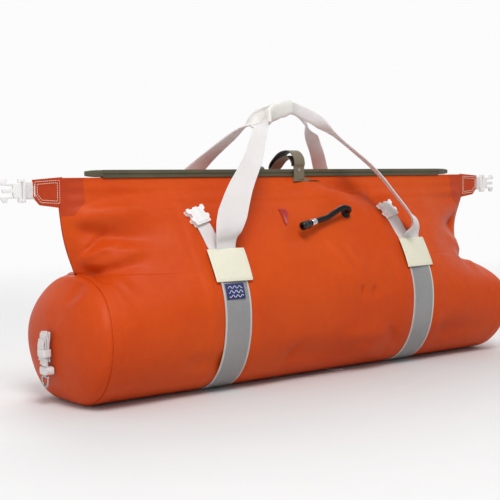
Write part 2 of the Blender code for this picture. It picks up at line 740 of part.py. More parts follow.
def valve_axis():
    """Start of the straight end of the valve, and the direction it points in."""
    end = Vector((-0.012, -half_depth(0, 0.262) - VALVE_STAND - 0.002, 0.2595))
    direction = Vector((-1.0, -0.16, -0.20)).normalized()
    return end, direction


def build_valve(rubber, chrome, black):
    x, z = VALVE_FOOT
    normal = face_normal(x, z, -1)
    foot = face_point(x, z, -1, 2 * GAP)
    boot = turned("valve_boot", [(0.0, 0.0), (BOOT_RADIUS, 0.0), (BOOT_RADIUS, 0.0015),
                                 (TUBE_RADIUS + 0.0015, 0.004), (TUBE_RADIUS + 0.001, 0.0075),
                                 (0.0, 0.0075)], rubber)
    aim(boot, foot, normal)
    end, direction = valve_axis()
    start = foot + normal * (0.0075 + 3 * GAP)
    elbow = foot + normal * VALVE_STAND
    route = [start, start.lerp(elbow, 0.55), elbow + Vector((-0.006, -0.001, 0.0005)),
             elbow + Vector((-0.022, -0.002, 0.001)), end - direction * 0.034, end - direction * 0.012,
             end]
    smooth = [on_path(route, step / 20) for step in range(21)]
    wire("valve_tube", smooth, TUBE_RADIUS, rubber)
    sleeve_length = RING_LENGTH + MOUTHPIECE_TRAVEL + 0.006
    core = TUBE_RADIUS * 0.62
    nipple = turned("valve_nipple", [(0.0, 0.0), (core, 0.0), (core, sleeve_length),
                                     (0.0, sleeve_length)], black)
    aim(nipple, end + direction * GAP, direction)
    ring_start = end + direction * (2 * GAP)
    bore = core + RUNNING_GAP
    groove = RING_RADIUS - 0.0008
    profile = [(bore, 0.0), (RING_RADIUS, 0.0)]
    for index in range(3):
        low = RING_LENGTH * (index + 0.6) / 3.4
        profile += [(RING_RADIUS, low), (groove, low + 0.0005), (groove, low + 0.0011),
                    (RING_RADIUS, low + 0.0016)]
    profile += [(RING_RADIUS, RING_LENGTH), (bore, RING_LENGTH)]
    ring = turned("valve_lock_ring", profile, chrome)
    aim(ring, ring_start, direction)
    tip_start = ring_start + direction * (RING_LENGTH + MOUTHPIECE_TRAVEL + GAP)
    bore_depth = 0.011
    tip_profile = [(bore, 0.0), (MOUTHPIECE_RADIUS, 0.0), (MOUTHPIECE_RADIUS, MOUTHPIECE_LENGTH - 0.004),
                   (MOUTHPIECE_RADIUS * 0.75, MOUTHPIECE_LENGTH), (0.0, MOUTHPIECE_LENGTH),
                   (0.0, bore_depth), (bore, bore_depth)]
    tip = turned("valve_mouthpiece", tip_profile, black)
    aim(tip, tip_start, direction)


# ---- lash points on the caps -------------------------------------------------------------------------
def cap_x(y, z):
    """How far out the end cap's skin is at a place on it."""
    rise = (z - BAG_FLOOR - CAP_RADIUS) / CAP_RADIUS
    run = y / (BARREL_DEPTH / 2)
    return SEAM_X + CAP_BULGE * math.sqrt(max(0.0, 1.0 - rise * rise - run * run))


LASH_TOP = 0.112
LASH_STAND = 0.004


def build_lash(side, word, white, steel):
    low = LASH_TOP - LASH_HEIGHT
    skin = max(cap_x(0.0, LASH_TOP), cap_x(0.0, LASH_TOP - LASH_HEIGHT / 2)) + LASH_STAND

    def place_bundle(u, v, w):
        return side * (skin + u * LASH_THICKNESS), (v - 0.5) * LASH_WIDTH, low + w * LASH_HEIGHT
    mapped_box(word + "_lash_strap", 1, 1, place_bundle, white)
    keeper_top = low - GAP
    keeper_low = keeper_top - KEEPER_HEIGHT
    inner = cap_x(0.0, keeper_top) + GAP + 0.001

    def place_keeper(u, v, w):
        return (side * (inner + u * (skin + LASH_THICKNESS * 0.8 - inner)),
                (v - 0.5) * LASH_WIDTH * 1.1, keeper_low + w * KEEPER_HEIGHT)
    mapped_box(word + "_lash_keeper", 1, 1, place_keeper, white)
    ring_x = side * (skin + LASH_THICKNESS * 0.4)
    ring_top = keeper_low - GAP - RING_WIRE_RADIUS
    half = D_RING_WIDTH / 2
    points = [(ring_x, -half, ring_top), (ring_x, half, ring_top)]
    for step in range(9):
        angle = math.pi * step / 8
        points.append((ring_x, half * math.cos(angle),
                       ring_top - 0.004 - (D_RING_DROP - 0.004) * math.sin(angle)))
    wire(word + "_d_ring", points, RING_WIRE_RADIUS, steel, cyclic=True, resolution=1)


# ---- small trim -----------------------------------------------------------------------------------------
def build_trim(red, white, navy):
    def place_keeper_tab(u, v, w):
        width = 0.016 * (1 - 0.85 * v)
        z = 0.281 - v * 0.026
        return face_point(-0.066 + (u - 0.5) * width, z, -1, 2 * GAP + w * 0.0015)
    mapped_box("valve_keeper_tab", 1, 3, place_keeper_tab, red)
    face_patch("band_label", (-BAND_X - 0.020, -BAND_X + 0.014), (0.148, 0.171), -1,
               FACE_STACK + 2 * GAP, 0.0008, navy, (1, 4))
    box_object("bottom_web_tab", (0.045, -0.062, 0.0), (0.066, -0.034, 0.0014), white)


def main():
    orange = make_material("orange_coated_fabric", ORANGE, 0.42)
    olive = make_material("olive_seal", OLIVE, 0.40)
    loop_olive = make_material("olive_web", LOOP_OLIVE, 0.65)
    white = make_material("white_web", WHITE, 0.75)
    plastic = make_material("white_acetal", WHITE, 0.38)
    cream = make_material("cream_patch", CREAM, 0.60)
    grey = make_material("grey_reflective_web", GREY, 0.55)
    black = make_material("black_plastic", (0.012, 0.012, 0.014), 0.20)
    rubber = make_material("black_rubber", (0.012, 0.012, 0.012), 0.28)
    chrome = make_material("chrome", (0.80, 0.80, 0.80), 0.12, 1.0)
    steel = make_material("steel", (0.55, 0.55, 0.55), 0.25, 1.0)
    red = make_material("red_fabric", (0.42, 0.02, 0.008), 0.50)
    navy = make_material("navy_label", (0.02, 0.022, 0.12), 0.60)
    build_shell(orange)
    build_seal(olive)
    build_bands(grey)
    build_patches(cream)
    build_handles(white, cream)
    for side, word in ((-1, "left"), (1, "right")):
        build_end_tab(side, word, orange, white)
        build_male_buckle(side, word, plastic)
        build_front_buckle(side, word, white, plastic)
        build_lash(side, word, white, steel)
    build_pull_loops(loop_olive, steel)
    build_valve(rubber, chrome, black)
    build_trim(red, white, navy)


clear_scene()
CUTTERS = make_cutter_collection()
CAVITY = hide_cutter(mapped_box("cavity", COLUMNS, ROWS_BARREL + ROWS_THROAT, place_cavity,
                                collection=CUTTERS))
main()
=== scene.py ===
# %% [markdown]
# # A welded dry duffel The object is an orange waterproof duffel: a barrel of coated fabric with two
# round end caps, a tall throat that closes with an olive press seal, white webbing handles, grey bands,
# buckles at both ends of the mouth, two spare buckles on the front and an oral inflation valve. The
# measured CAD model comes first, as a frame that fixes every size and joint. Each cell after that dresses
# one piece of it as the real one looks.

# %% Load the frame
import json
import math

import bpy
import numpy as np
from mathutils import Matrix, Vector

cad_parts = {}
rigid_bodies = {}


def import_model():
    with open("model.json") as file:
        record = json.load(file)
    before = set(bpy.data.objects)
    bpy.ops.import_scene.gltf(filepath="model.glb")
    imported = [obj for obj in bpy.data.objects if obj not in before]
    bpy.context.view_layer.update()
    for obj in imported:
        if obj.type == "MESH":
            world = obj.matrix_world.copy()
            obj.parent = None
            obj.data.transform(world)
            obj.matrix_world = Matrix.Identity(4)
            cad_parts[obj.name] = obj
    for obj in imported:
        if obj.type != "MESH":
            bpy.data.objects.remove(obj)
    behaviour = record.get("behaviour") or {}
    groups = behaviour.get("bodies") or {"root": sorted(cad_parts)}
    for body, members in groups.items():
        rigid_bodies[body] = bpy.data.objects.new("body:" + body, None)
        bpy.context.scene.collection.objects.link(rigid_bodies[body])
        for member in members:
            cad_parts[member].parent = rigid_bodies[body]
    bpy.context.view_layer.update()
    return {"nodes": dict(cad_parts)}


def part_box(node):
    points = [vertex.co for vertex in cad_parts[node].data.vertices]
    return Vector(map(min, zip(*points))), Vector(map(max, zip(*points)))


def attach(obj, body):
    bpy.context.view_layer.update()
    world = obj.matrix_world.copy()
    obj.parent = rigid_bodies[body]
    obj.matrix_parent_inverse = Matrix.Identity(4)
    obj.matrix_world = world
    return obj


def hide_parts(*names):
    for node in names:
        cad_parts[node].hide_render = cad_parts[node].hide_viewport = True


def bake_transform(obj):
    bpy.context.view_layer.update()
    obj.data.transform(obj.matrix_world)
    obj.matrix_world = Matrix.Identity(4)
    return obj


for stray in list(bpy.data.objects):
    bpy.data.objects.remove(stray)
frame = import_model()

# %% [markdown]
# The camera is set up before any surface, so that every later picture is taken from the same spot. It
# stands low at the front left, 1.8 m away, with a long lens, and looks a little downwards. Its axes are
# worked out from three turns (heading, pitch and roll), because a rotation matrix built from named axes
# is easy to check.

# %% Camera
CAMERA_PLACE = Vector((-1.202, -1.426, 0.333))
HEADING, PITCH, ROLL = (math.radians(angle) for angle in (38.0, -3.82, -0.57))
FIELD_OF_VIEW = math.radians(26.0)

forward = Vector((math.sin(HEADING) * math.cos(PITCH), math.cos(HEADING) * math.cos(PITCH), math.sin(PITCH)))
level = Vector((math.cos(HEADING), -math.sin(HEADING), 0.0))
upright = level.cross(forward)
right = level * math.cos(ROLL) + upright * math.sin(ROLL)
up = upright * math.cos(ROLL) - level * math.sin(ROLL)
camera_data = bpy.data.cameras.new("camera")
camera_data.angle = FIELD_OF_VIEW
camera = bpy.data.objects.new("camera", camera_data)
turn = Matrix((right, up, -forward)).transposed().to_4x4()
camera.matrix_world = Matrix.Translation(CAMERA_PLACE) @ turn
bpy.context.scene.collection.objects.link(camera)
bpy.context.scene.camera = camera
print("camera looks along", [round(value, 3) for value in forward])

# %% [markdown]
# Two small helpers put a worked-out grid of points into a mesh. A grid of n by m points gives a face
# between each four neighbours. Where a direction closes on itself, as round a tube, the last row joins
# the first. Every piece also gets a UV map in metres, so that a weave keeps its real pitch whatever the
# piece's shape.

# %% Grid helpers
def grid_faces(n, m, close_u=False, close_v=False):
    """Indices of the quads: (i, j), (i+1, j), (i+1, j+1), (i, j+1), wrapped where a direction closes."""
    i = np.arange(n if close_u else n - 1)
    j = np.arange(m if close_v else m - 1)
    i, j = np.meshgrid(i, j, indexing="ij")
    ahead_i, ahead_j = (i + 1) % n, (j + 1) % m
    quads = np.stack([i * m + j, ahead_i * m + j, ahead_i * m + ahead_j, i * m + ahead_j], axis=-1)
    return quads.reshape(-1, 4)


def closed_sheet(top, under):
    """Points and faces of a closed sheet: two grids of points joined by a wall round their rim."""
    n, m = top.shape[:2]
    count = n * m
    rim = np.concatenate([np.arange(m), np.arange(1, n) * m + m - 1,
                          (n - 1) * m + np.arange(m - 2, -1, -1), np.arange(n - 2, 0, -1) * m])
    ahead = np.roll(rim, -1)
    walls = np.stack([rim, rim + count, ahead + count, ahead], axis=-1)
    faces = grid_faces(n, m)
    points = np.concatenate([top.reshape(-1, 3), under.reshape(-1, 3)])
    return points, faces.tolist() + (faces[:, ::-1] + count).tolist() + walls.tolist()


def spots_of(mesh):
    """Every vertex of a mesh, as an array of points."""
    return np.array([vertex.co for vertex in mesh.vertices])


def shaped_mesh(piece):
    """The piece's mesh with its modifiers applied."""
    bpy.context.view_layer.update()
    return bpy.data.meshes.new_from_object(piece.evaluated_get(bpy.context.evaluated_depsgraph_get()))


def path_length(path):
    """Length of a path in metres: the sum of its steps."""
    return float(np.linalg.norm(np.diff(path, axis=0), axis=1).sum())


def make_piece(name, points, faces, material, uv=None, smooth=True):
    """A mesh object from points (n, 3) and a list of faces, with a UV map named metres."""
    mesh = bpy.data.meshes.new(name)
    mesh.from_pydata(np.asarray(points).reshape(-1, 3).tolist(), [],
                     [list(map(int, face)) for face in faces])
    mesh.polygons.foreach_set("use_smooth", [smooth] * len(mesh.polygons))
    if uv is not None:
        layer = mesh.uv_layers.new(name="metres")
        corners = np.zeros(len(mesh.loops), dtype=np.int32)
        mesh.loops.foreach_get("vertex_index", corners)
        layer.data.foreach_set("uv", np.asarray(uv).reshape(-1, 2)[corners].astype(np.float32).ravel())
    mesh.materials.append(material)
    piece = bpy.data.objects.new(name, mesh)
    bpy.context.scene.collection.objects.link(piece)
    mesh.update()
    return piece


def face_outwards(piece):
    """Turns a closed shell's faces the right way round, by the sign of its volume."""
    mesh = piece.data
    mesh.calc_loop_triangles()
    corners = np.array([tri.vertices[:] for tri in mesh.loop_triangles])
    place = np.zeros(len(mesh.vertices) * 3)
    mesh.vertices.foreach_get("co", place)
    a, b, c = (place.reshape(-1, 3)[corners[:, k]] for k in range(3))
    if np.einsum("ij,ij->i", a, np.cross(b, c)).sum() < 0:
        mesh.flip_normals()
    return piece


def soften(piece, angle=35.0):
    """Keeps edges sharper than the angle crisp, and shades the rest smooth."""
    piece.data.set_sharp_from_angle(angle=math.radians(angle))
    return piece


def settle(piece, body, nodes=()):
    """Rides the piece on its body and hides the plain nodes it stands for."""
    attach(piece, body)
    if nodes:
        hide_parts(*nodes)
    return piece


def bend_between(piece):
    """Bakes the piece's world placement into its mesh."""
    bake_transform(piece)


def smooth_step(value, low, high):
    """0 below low, 1 above high and an even S between them."""
    share = np.clip((value - low) / (high - low), 0.0, 1.0)
    return share * share * (3.0 - 2.0 * share)


print("helpers ready")

# %% [markdown]
# Finishes come next. Two effects are used by several of them, so each is a node group with named sockets:
# a plain weave that gives a height and a shade, and a mottle that varies a colour and a roughness over the
# surface. Numbers that are the same all over are set on the shader's own sockets.

# %% Node helpers
def add_node(tree, kind, links=None, **settings):
    """A node with its properties set, and its inputs set or linked by name or index."""
    node = tree.nodes.new(kind)
    for key, value in settings.items():
        setattr(node, key, value)
    for key, value in (links or {}).items():
        socket = node.inputs[key]
        if isinstance(value, bpy.types.NodeSocket):
            tree.links.new(value, socket)
        else:
            socket.default_value = value
    return node


def maths(tree, operation, first, second=0.0, clamp=False):
    """The result of one Math node."""
    return add_node(tree, "ShaderNodeMath", {0: first, 1: second}, operation=operation,
                    use_clamp=clamp).outputs[0]


def new_group(name, inputs, outputs):
    """An empty shader group with its sockets, and its input and output nodes."""
    tree = bpy.data.node_groups.new(name, "ShaderNodeTree")
    for label, kind, value in inputs:
        socket = tree.interface.new_socket(label, in_out="INPUT", socket_type="NodeSocket" + kind)
        if value is not None:
            socket.default_value = value
    for label, kind in outputs:
        tree.interface.new_socket(label, in_out="OUTPUT", socket_type="NodeSocket" + kind)
    return tree, tree.nodes.new("NodeGroupInput"), tree.nodes.new("NodeGroupOutput")


def build_weave():
    """Warp and weft: two crossed rows of rounded ribs, |sin| of each direction, in a checker of overs."""
    tree, inside, out = new_group("plain_weave", [("Place", "Vector", None), ("Across", "Float", 0.0016),
                                                  ("Along", "Float", 0.0016)],
                                  [("Height", "Float"), ("Shade", "Float")])
    split = add_node(tree, "ShaderNodeSeparateXYZ", {0: inside.outputs["Place"]})
    turn_u = maths(tree, "MULTIPLY", maths(tree, "DIVIDE", split.outputs[0], inside.outputs["Across"]),
                   math.pi)
    turn_v = maths(tree, "MULTIPLY", maths(tree, "DIVIDE", split.outputs[1], inside.outputs["Along"]),
                   math.pi)
    rib_u = maths(tree, "ABSOLUTE", maths(tree, "SINE", turn_u))
    rib_v = maths(tree, "ABSOLUTE", maths(tree, "SINE", turn_v))
    checker = maths(tree, "MULTIPLY", maths(tree, "SINE", turn_u), maths(tree, "SINE", turn_v))
    over = maths(tree, "GREATER_THAN", checker, 0.0)
    under = maths(tree, "SUBTRACT", 1.0, over)
    height = maths(tree, "ADD", maths(tree, "MULTIPLY", rib_u, over), maths(tree, "MULTIPLY", rib_v, under))
    tree.links.new(height, out.inputs["Height"])
    tree.links.new(maths(tree, "MULTIPLY_ADD", height, 0.3), out.inputs["Shade"])
    tree.nodes[-1].inputs[2].default_value = 0.7
    return tree


def build_mottle():
    """A slow drift between two colours, finer smudges on it, and a roughness that follows them."""
    tree, inside, out = new_group("mottle", [("Place", "Vector", None), ("Colour", "Color", (1, 1, 1, 1)),
                                             ("Drift", "Color", (1, 1, 1, 1)), ("Size", "Float", 6.0),
                                             ("Rough", "Float", 0.5), ("Rough spread", "Float", 0.1)],
                                  [("Colour", "Color"), ("Roughness", "Float"), ("Height", "Float")])
    broad = add_node(tree, "ShaderNodeTexNoise", {"Vector": inside.outputs["Place"],
                                                  "Scale": inside.outputs["Size"], "Detail": 3.0})
    fine_size = maths(tree, "MULTIPLY", inside.outputs["Size"], 14.0)
    fine = add_node(tree, "ShaderNodeTexNoise", {"Vector": inside.outputs["Place"], "Scale": fine_size,
                                                 "Detail": 4.0})
    mask = maths(tree, "ADD", maths(tree, "MULTIPLY", broad.outputs[0], 0.75),
                 maths(tree, "MULTIPLY", fine.outputs[0], 0.25))
    spread = add_node(tree, "ShaderNodeMapRange", {0: mask, 1: 0.35, 2: 0.65}).outputs[0]
    mix = add_node(tree, "ShaderNodeMix", {0: spread, 6: inside.outputs["Colour"],
                                           7: inside.outputs["Drift"]},
                   data_type="RGBA")
    tree.links.new(mix.outputs[2], out.inputs["Colour"])
    rough = maths(tree, "MULTIPLY_ADD", fine.outputs[0], inside.outputs["Rough spread"])
    tree.links.new(inside.outputs["Rough"], tree.nodes[-1].inputs[2])
    tree.links.new(rough, out.inputs["Roughness"])
    tree.links.new(mask, out.inputs["Height"])
    return tree


WEAVE, MOTTLE = build_weave(), build_mottle()
print("node groups:", [group.name for group in bpy.data.node_groups])

# %% [markdown]
# Every finish is built by one function: a Principled shader whose colour and roughness come from the
# mottle, and whose bump comes either from the mottle alone, as on moulded plastic, or from the weave as
# well. The webbing and the bands read the UV map in metres; the shell and the plastics read Object
# coordinates.

# %% Finishes
def finish(name, colour, drift, rough, size=6.0, weave=None, woven_on="UV", bump=0.0, grain=0.0, spread=0.12,
           **shader_values):
    """A material; weave is (pitch across, pitch along, share of shade), bump and grain are in metres."""
    material = bpy.data.materials.new(name)
    material.use_nodes = True
    tree = material.node_tree
    shader = tree.nodes["Principled BSDF"]
    place = tree.nodes.new("ShaderNodeTexCoord")
    mottle = add_node(tree, "ShaderNodeGroup", {}, node_tree=MOTTLE)
    tree.links.new(place.outputs["Object"], mottle.inputs["Place"])
    mottle.inputs["Colour"].default_value = (*colour, 1.0)
    mottle.inputs["Drift"].default_value = (*drift, 1.0)
    mottle.inputs["Size"].default_value = size
    mottle.inputs["Rough"].default_value = rough - spread / 2
    mottle.inputs["Rough spread"].default_value = spread
    colour_out = mottle.outputs["Colour"]
    normal = None
    if grain:
        grains = add_node(tree, "ShaderNodeBump", {"Height": mottle.outputs["Height"], "Distance": grain})
        normal = grains.outputs[0]
    if weave:
        across, along, shade = weave
        woven = add_node(tree, "ShaderNodeGroup", {}, node_tree=WEAVE)
        tree.links.new(place.outputs[woven_on], woven.inputs["Place"])
        woven.inputs["Across"].default_value = across
        woven.inputs["Along"].default_value = along
        darker = add_node(tree, "ShaderNodeMix", {0: shade, 6: colour_out}, data_type="RGBA",
                          blend_type="MULTIPLY")
        tree.links.new(woven.outputs["Shade"], darker.inputs[7])
        colour_out = darker.outputs[2]
        threads = add_node(tree, "ShaderNodeBump", {"Height": woven.outputs["Height"], "Distance": bump})
        if normal:
            tree.links.new(normal, threads.inputs["Normal"])
        normal = threads.outputs[0]
    tree.links.new(colour_out, shader.inputs["Base Color"])
    tree.links.new(mottle.outputs["Roughness"], shader.inputs["Roughness"])
    if normal:
        tree.links.new(normal, shader.inputs["Normal"])
    for key, value in shader_values.items():
        shader.inputs[key.replace("_", " ")].default_value = value
    return material


ORANGE = finish("coated_orange", (0.60, 0.072, 0.006), (0.53, 0.052, 0.004), 0.46, size=5.0,
                woven_on="Object",
                weave=(0.0011, 0.0011, 0.06), bump=0.00004, grain=0.0006, Specular_IOR_Level=0.14)
PATCH_ORANGE = finish("coated_orange_patch", (0.50, 0.050, 0.008), (0.43, 0.040, 0.007), 0.48, size=7.0,
                      woven_on="Object", weave=(0.0011, 0.0011, 0.06), bump=0.00004, grain=0.0004,
                      Specular_IOR_Level=0.25)
OLIVE = finish("olive_seal", (0.088, 0.080, 0.042), (0.066, 0.060, 0.032), 0.36, size=12.0, grain=0.0002,
               Coat_Weight=0.15, Coat_Roughness=0.3)
LOOP = finish("olive_loop", (0.20, 0.165, 0.105), (0.15, 0.125, 0.08), 0.6, size=18.0,
              weave=(0.0012, 0.0012, 0.25), bump=0.00012)
# painted shade: the loop's near-black inner strap stands for the shade inside its bend
LOOP_PAINTED_SHADE = finish("loop_lining", (0.030, 0.010, 0.008), (0.018, 0.007, 0.006), 0.55, size=18.0,
                     weave=(0.0012, 0.0012, 0.25), bump=0.00012)
WHITE_WEB = finish("white_webbing", (0.80, 0.775, 0.765), (0.74, 0.70, 0.69), 0.72, size=9.0,
                   weave=(0.0016, 0.0011, 0.35), bump=0.00022, Sheen_Weight=0.25, Sheen_Roughness=0.4)
CREAM = finish("cream_patch", (0.76, 0.745, 0.60), (0.70, 0.68, 0.54), 0.55, size=14.0,
               weave=(0.0009, 0.0009, 0.12), bump=0.00006)
SLEEVE = finish("cream_sleeve", (0.80, 0.785, 0.745), (0.73, 0.71, 0.66), 0.6, size=14.0,
                weave=(0.0009, 0.0009, 0.15), bump=0.00008, Sheen_Weight=0.2)
ACETAL = finish("white_acetal", (0.82, 0.81, 0.80), (0.77, 0.76, 0.75), 0.34, size=20.0, grain=0.00008)
RUBBER = finish("black_rubber", (0.004, 0.004, 0.0045), (0.007, 0.007, 0.0065), 0.20, size=40.0,
                grain=0.00006,
                Specular_IOR_Level=0.25)
BLACK = finish("black_moulded", (0.005, 0.005, 0.006), (0.008, 0.008, 0.009), 0.24, size=50.0, grain=0.00006)
CHROME = finish("chrome", (0.82, 0.82, 0.83), (0.74, 0.74, 0.76), 0.12, size=60.0, spread=0.06, Metallic=1.0)
STEEL = finish("steel_wire", (0.52, 0.52, 0.53), (0.42, 0.41, 0.40), 0.28, size=80.0, grain=0.00004,
               Metallic=1.0)
RED = finish("red_coated", (0.40, 0.012, 0.006), (0.32, 0.008, 0.005), 0.45, size=30.0, grain=0.0002)
THREAD = finish("white_thread", (0.82, 0.62, 0.52), (0.74, 0.50, 0.40), 0.7, size=200.0)
CREAM_THREAD = finish("cream_thread", (0.84, 0.80, 0.62), (0.78, 0.72, 0.54), 0.7, size=200.0)
print("finishes:", len(bpy.data.materials))

# %% [markdown]
# The bag's shape is one rule, the same one the frame was made with. At the end seams the barrel's section
# is an ellipse on a flat foot. Halfway along, the section is round below and drawn in to the seal above,
# like a tent. Between the two it changes slowly first and quickly near the seams. Above the barrel the
# two faces run together at the ends into a flat welded edge.

# %% The bag's sizes and its section
BAG_FLOOR = 0.0021
BARREL_HEIGHT, BARREL_DEPTH = 0.189, 0.240
CAP_RADIUS = BARREL_HEIGHT / 2
PINCH_HEIGHT = BAG_FLOOR + BARREL_HEIGHT
WIDEST_HEIGHT = 0.125
FOOT = 0.060
SEAM_X, CAP_BULGE = 0.427, 0.036
THROAT_X = 0.447
LIP_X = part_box("front_lip")[1].x
LIP_TOP = 0.3355
BAG_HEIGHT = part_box("front_seal_strip")[1].z
WELD = 0.0022
BAND_X, BAND_WIDTH = 0.205, 0.050


def round_share(value):
    """Height of a unit quarter circle."""
    return np.sqrt(np.clip(1.0 - value * value, 0.0, None))


def barrel_depth(z):
    """Half depth at the end seams: ellipse on a flat foot, nothing above the pinch."""
    share = round_share((z - BAG_FLOOR - CAP_RADIUS) / CAP_RADIUS)
    foot = np.where(z < BAG_FLOOR + CAP_RADIUS, FOOT / 2, 0.0)
    return np.where(z < PINCH_HEIGHT, foot + (BARREL_DEPTH / 2 - foot) * share, 0.0)


def middle_depth(z):
    """Half depth halfway along: rounded below the widest height, drawn in to the seal above it."""
    low = np.clip((WIDEST_HEIGHT - z) / (WIDEST_HEIGHT - BAG_FLOOR), 0.0, 1.0)
    below = FOOT / 2 + (BARREL_DEPTH - FOOT) / 2 * (1.0 - low ** 2.2) ** (1 / 2.2)
    high = np.clip((z - WIDEST_HEIGHT) / (LIP_TOP - WIDEST_HEIGHT), 0.0, 1.0)
    return np.where(z < WIDEST_HEIGHT, below, BARREL_DEPTH / 2 * (1.0 - high ** 2) ** 1.2)


def reach(z):
    """Half length of the two faces at a height: the end seam, then the throat's welded edge."""
    rise = np.clip((z - PINCH_HEIGHT) / (LIP_TOP - PINCH_HEIGHT), 0.0, 1.0)
    return SEAM_X + (THROAT_X - SEAM_X) * rise ** 0.6


def half_depth(x, z):
    """Half depth anywhere on the faces: the middle section fading into the end section.

    Away from the seams the end section is averaged over a few heights, so its sharp top leaves no crease.
    """
    inner = (1.0 - smooth_step(np.abs(x), 0.355, 0.424)) * smooth_step(z, 0.120, 0.160)
    even_reach = SEAM_X + (THROAT_X - SEAM_X) * smooth_step(z, 0.150, LIP_TOP)
    fade = 1.0 - np.clip(np.abs(x) / (reach(z) + (even_reach - reach(z)) * inner), 0.0, 1.0) ** 4
    ends = barrel_depth(z)
    eased = np.mean([barrel_depth(z + step) for step in np.linspace(-0.028, 0.028, 15)], axis=0)
    ends = ends + (eased - ends) * inner
    return np.maximum(WELD / 2, ends + (middle_depth(z) - ends) * fade)


def face_frame(x, z, side, lift=0.0):
    """Points lifted off the plain face along its normal, and those normals."""
    x, z = np.broadcast_arrays(np.asarray(x, float), np.asarray(z, float))
    step = 0.002
    slope = (half_depth(x, z + step) - half_depth(x, z - step)) / (2 * step)
    run = (half_depth(x + step, z) - half_depth(x - step, z)) / (2 * step)
    normal = np.stack([-run, np.full_like(slope, side), -slope], axis=-1)
    normal /= np.linalg.norm(normal, axis=-1, keepdims=True)
    points = np.stack([x, side * half_depth(x, z), z], axis=-1)
    return points + normal * np.asarray(lift)[..., None], normal


print("deepest section:", round(float(2 * half_depth(0.0, WIDEST_HEIGHT)), 4), "m")

# %% [markdown]
# Coated fabric doesn't hang like cloth. It buckles: long soft ridges and valleys run from where it is
# pinched, at the corners of the throat and under the seal, and fade out over the belly. Each is written
# as a line on the face with a width and a height, and its relief is a bell curve across the line that
# tapers at both ends. A crease is the slope of a bell instead, so one side of the line stands up and the
# other sinks.

# %% Folds in the fabric
# each: start (x, z), end (x, z), width, height; metres, on the front face
RIDGES = [
    ((-0.430, 0.205), (-0.300, 0.232), 0.015, 0.0065),
    ((-0.436, 0.262), (-0.290, 0.236), 0.017, -0.0080),
    ((-0.430, 0.268), (-0.330, 0.275), 0.018, 0.0040),
    ((-0.428, 0.200), (-0.385, 0.198), 0.007, -0.0040),
    ((-0.398, 0.196), (-0.452, 0.158), 0.010, -0.0050),
    ((-0.395, 0.197), (-0.320, 0.217), 0.009, -0.0040),
    ((-0.415, 0.183), (-0.370, 0.170), 0.012, 0.0035),
    ((-0.410, 0.300), (-0.265, 0.306), 0.010, -0.0035),
    ((-0.400, 0.287), (-0.250, 0.285), 0.014, 0.0030),
    ((0.060, 0.334), (0.175, 0.303), 0.016, -0.0080),
    ((0.160, 0.308), (0.212, 0.262), 0.014, -0.0070),
    ((0.205, 0.275), (0.196, 0.225), 0.012, -0.0045),
    ((0.020, 0.312), (0.150, 0.282), 0.020, 0.0050),
    ((0.010, 0.228), (0.056, 0.150), 0.008, 0.0022),
    ((0.048, 0.225), (0.072, 0.150), 0.007, 0.0018),
    ((0.060, 0.152), (0.062, 0.128), 0.005, -0.0030),
    ((0.088, 0.150), (0.090, 0.126), 0.005, -0.0030),
    ((-0.075, 0.240), (0.040, 0.222), 0.022, -0.0040),
    ((0.430, 0.200), (0.330, 0.226), 0.013, 0.0050),
    ((0.432, 0.250), (0.320, 0.238), 0.014, -0.0060),
    ((0.425, 0.194), (0.370, 0.176), 0.010, 0.0040),
    ((0.420, 0.188), (0.345, 0.205), 0.008, -0.0040),
    ((0.430, 0.290), (0.300, 0.292), 0.014, -0.0040),
    ((-0.290, 0.060), (-0.160, 0.040), 0.016, -0.0030),
    ((-0.120, 0.050), (0.080, 0.034), 0.020, -0.0035),
    ((0.020, 0.070), (0.150, 0.058), 0.016, 0.0030),
    ((0.240, 0.055), (0.400, 0.050), 0.018, -0.0035),
    ((-0.424, 0.212), (-0.352, 0.246), 0.005, 0.0030),
    ((-0.416, 0.224), (-0.372, 0.262), 0.005, -0.0028),
    ((-0.420, 0.196), (-0.460, 0.165), 0.006, 0.0030),
    ((-0.410, 0.190), (-0.372, 0.150), 0.008, -0.0030),
    ((0.418, 0.262), (0.402, 0.190), 0.007, -0.0035),
    ((0.425, 0.240), (0.372, 0.210), 0.005, 0.0024),
    ((0.120, 0.075), (0.176, 0.030), 0.009, -0.0026),
    ((0.060, 0.050), (0.128, 0.022), 0.009, 0.0022),
    ((-0.060, 0.070), (-0.110, 0.022), 0.010, -0.0022),
]


def relief_of(ridges, x, z):
    """Sum over the lines of height * bell(distance / width) * taper along the line."""
    total = np.zeros_like(x)
    for (x0, z0), (x1, z1), width, height in ridges:
        run = np.hypot(x1 - x0, z1 - z0)
        along = ((x - x0) * (x1 - x0) + (z - z0) * (z1 - z0)) / run ** 2
        aside = ((x - x0) * (z1 - z0) - (z - z0) * (x1 - x0)) / run
        taper = smooth_step(along, -0.10, 0.25) * (1.0 - smooth_step(along, 0.45, 1.10))
        spread = width * (0.75 + 0.6 * np.clip(along, 0.0, 1.0))
        total += height * taper * np.exp(-(aside / spread) ** 2)
    return total


def ripple(x, z, seed):
    """Soft unevenness: a few slow waves whose directions and phases come from a seeded draw."""
    draw = np.random.default_rng(seed)
    total = np.zeros_like(x)
    for _ in range(14):
        heading = draw.uniform(0.0, math.pi)
        length = draw.uniform(0.045, 0.16)
        phase = draw.uniform(0.0, 2 * math.pi)
        bend = 0.35 * np.sin(2 * math.pi * (x * math.sin(heading) - z * math.cos(heading)) / 0.21 + phase)
        wave = (x * math.cos(heading) + z * math.sin(heading)) * 2 * math.pi / length
        total += length * 0.0032 * np.sin(wave + phase + 3.0 * bend)
    return total


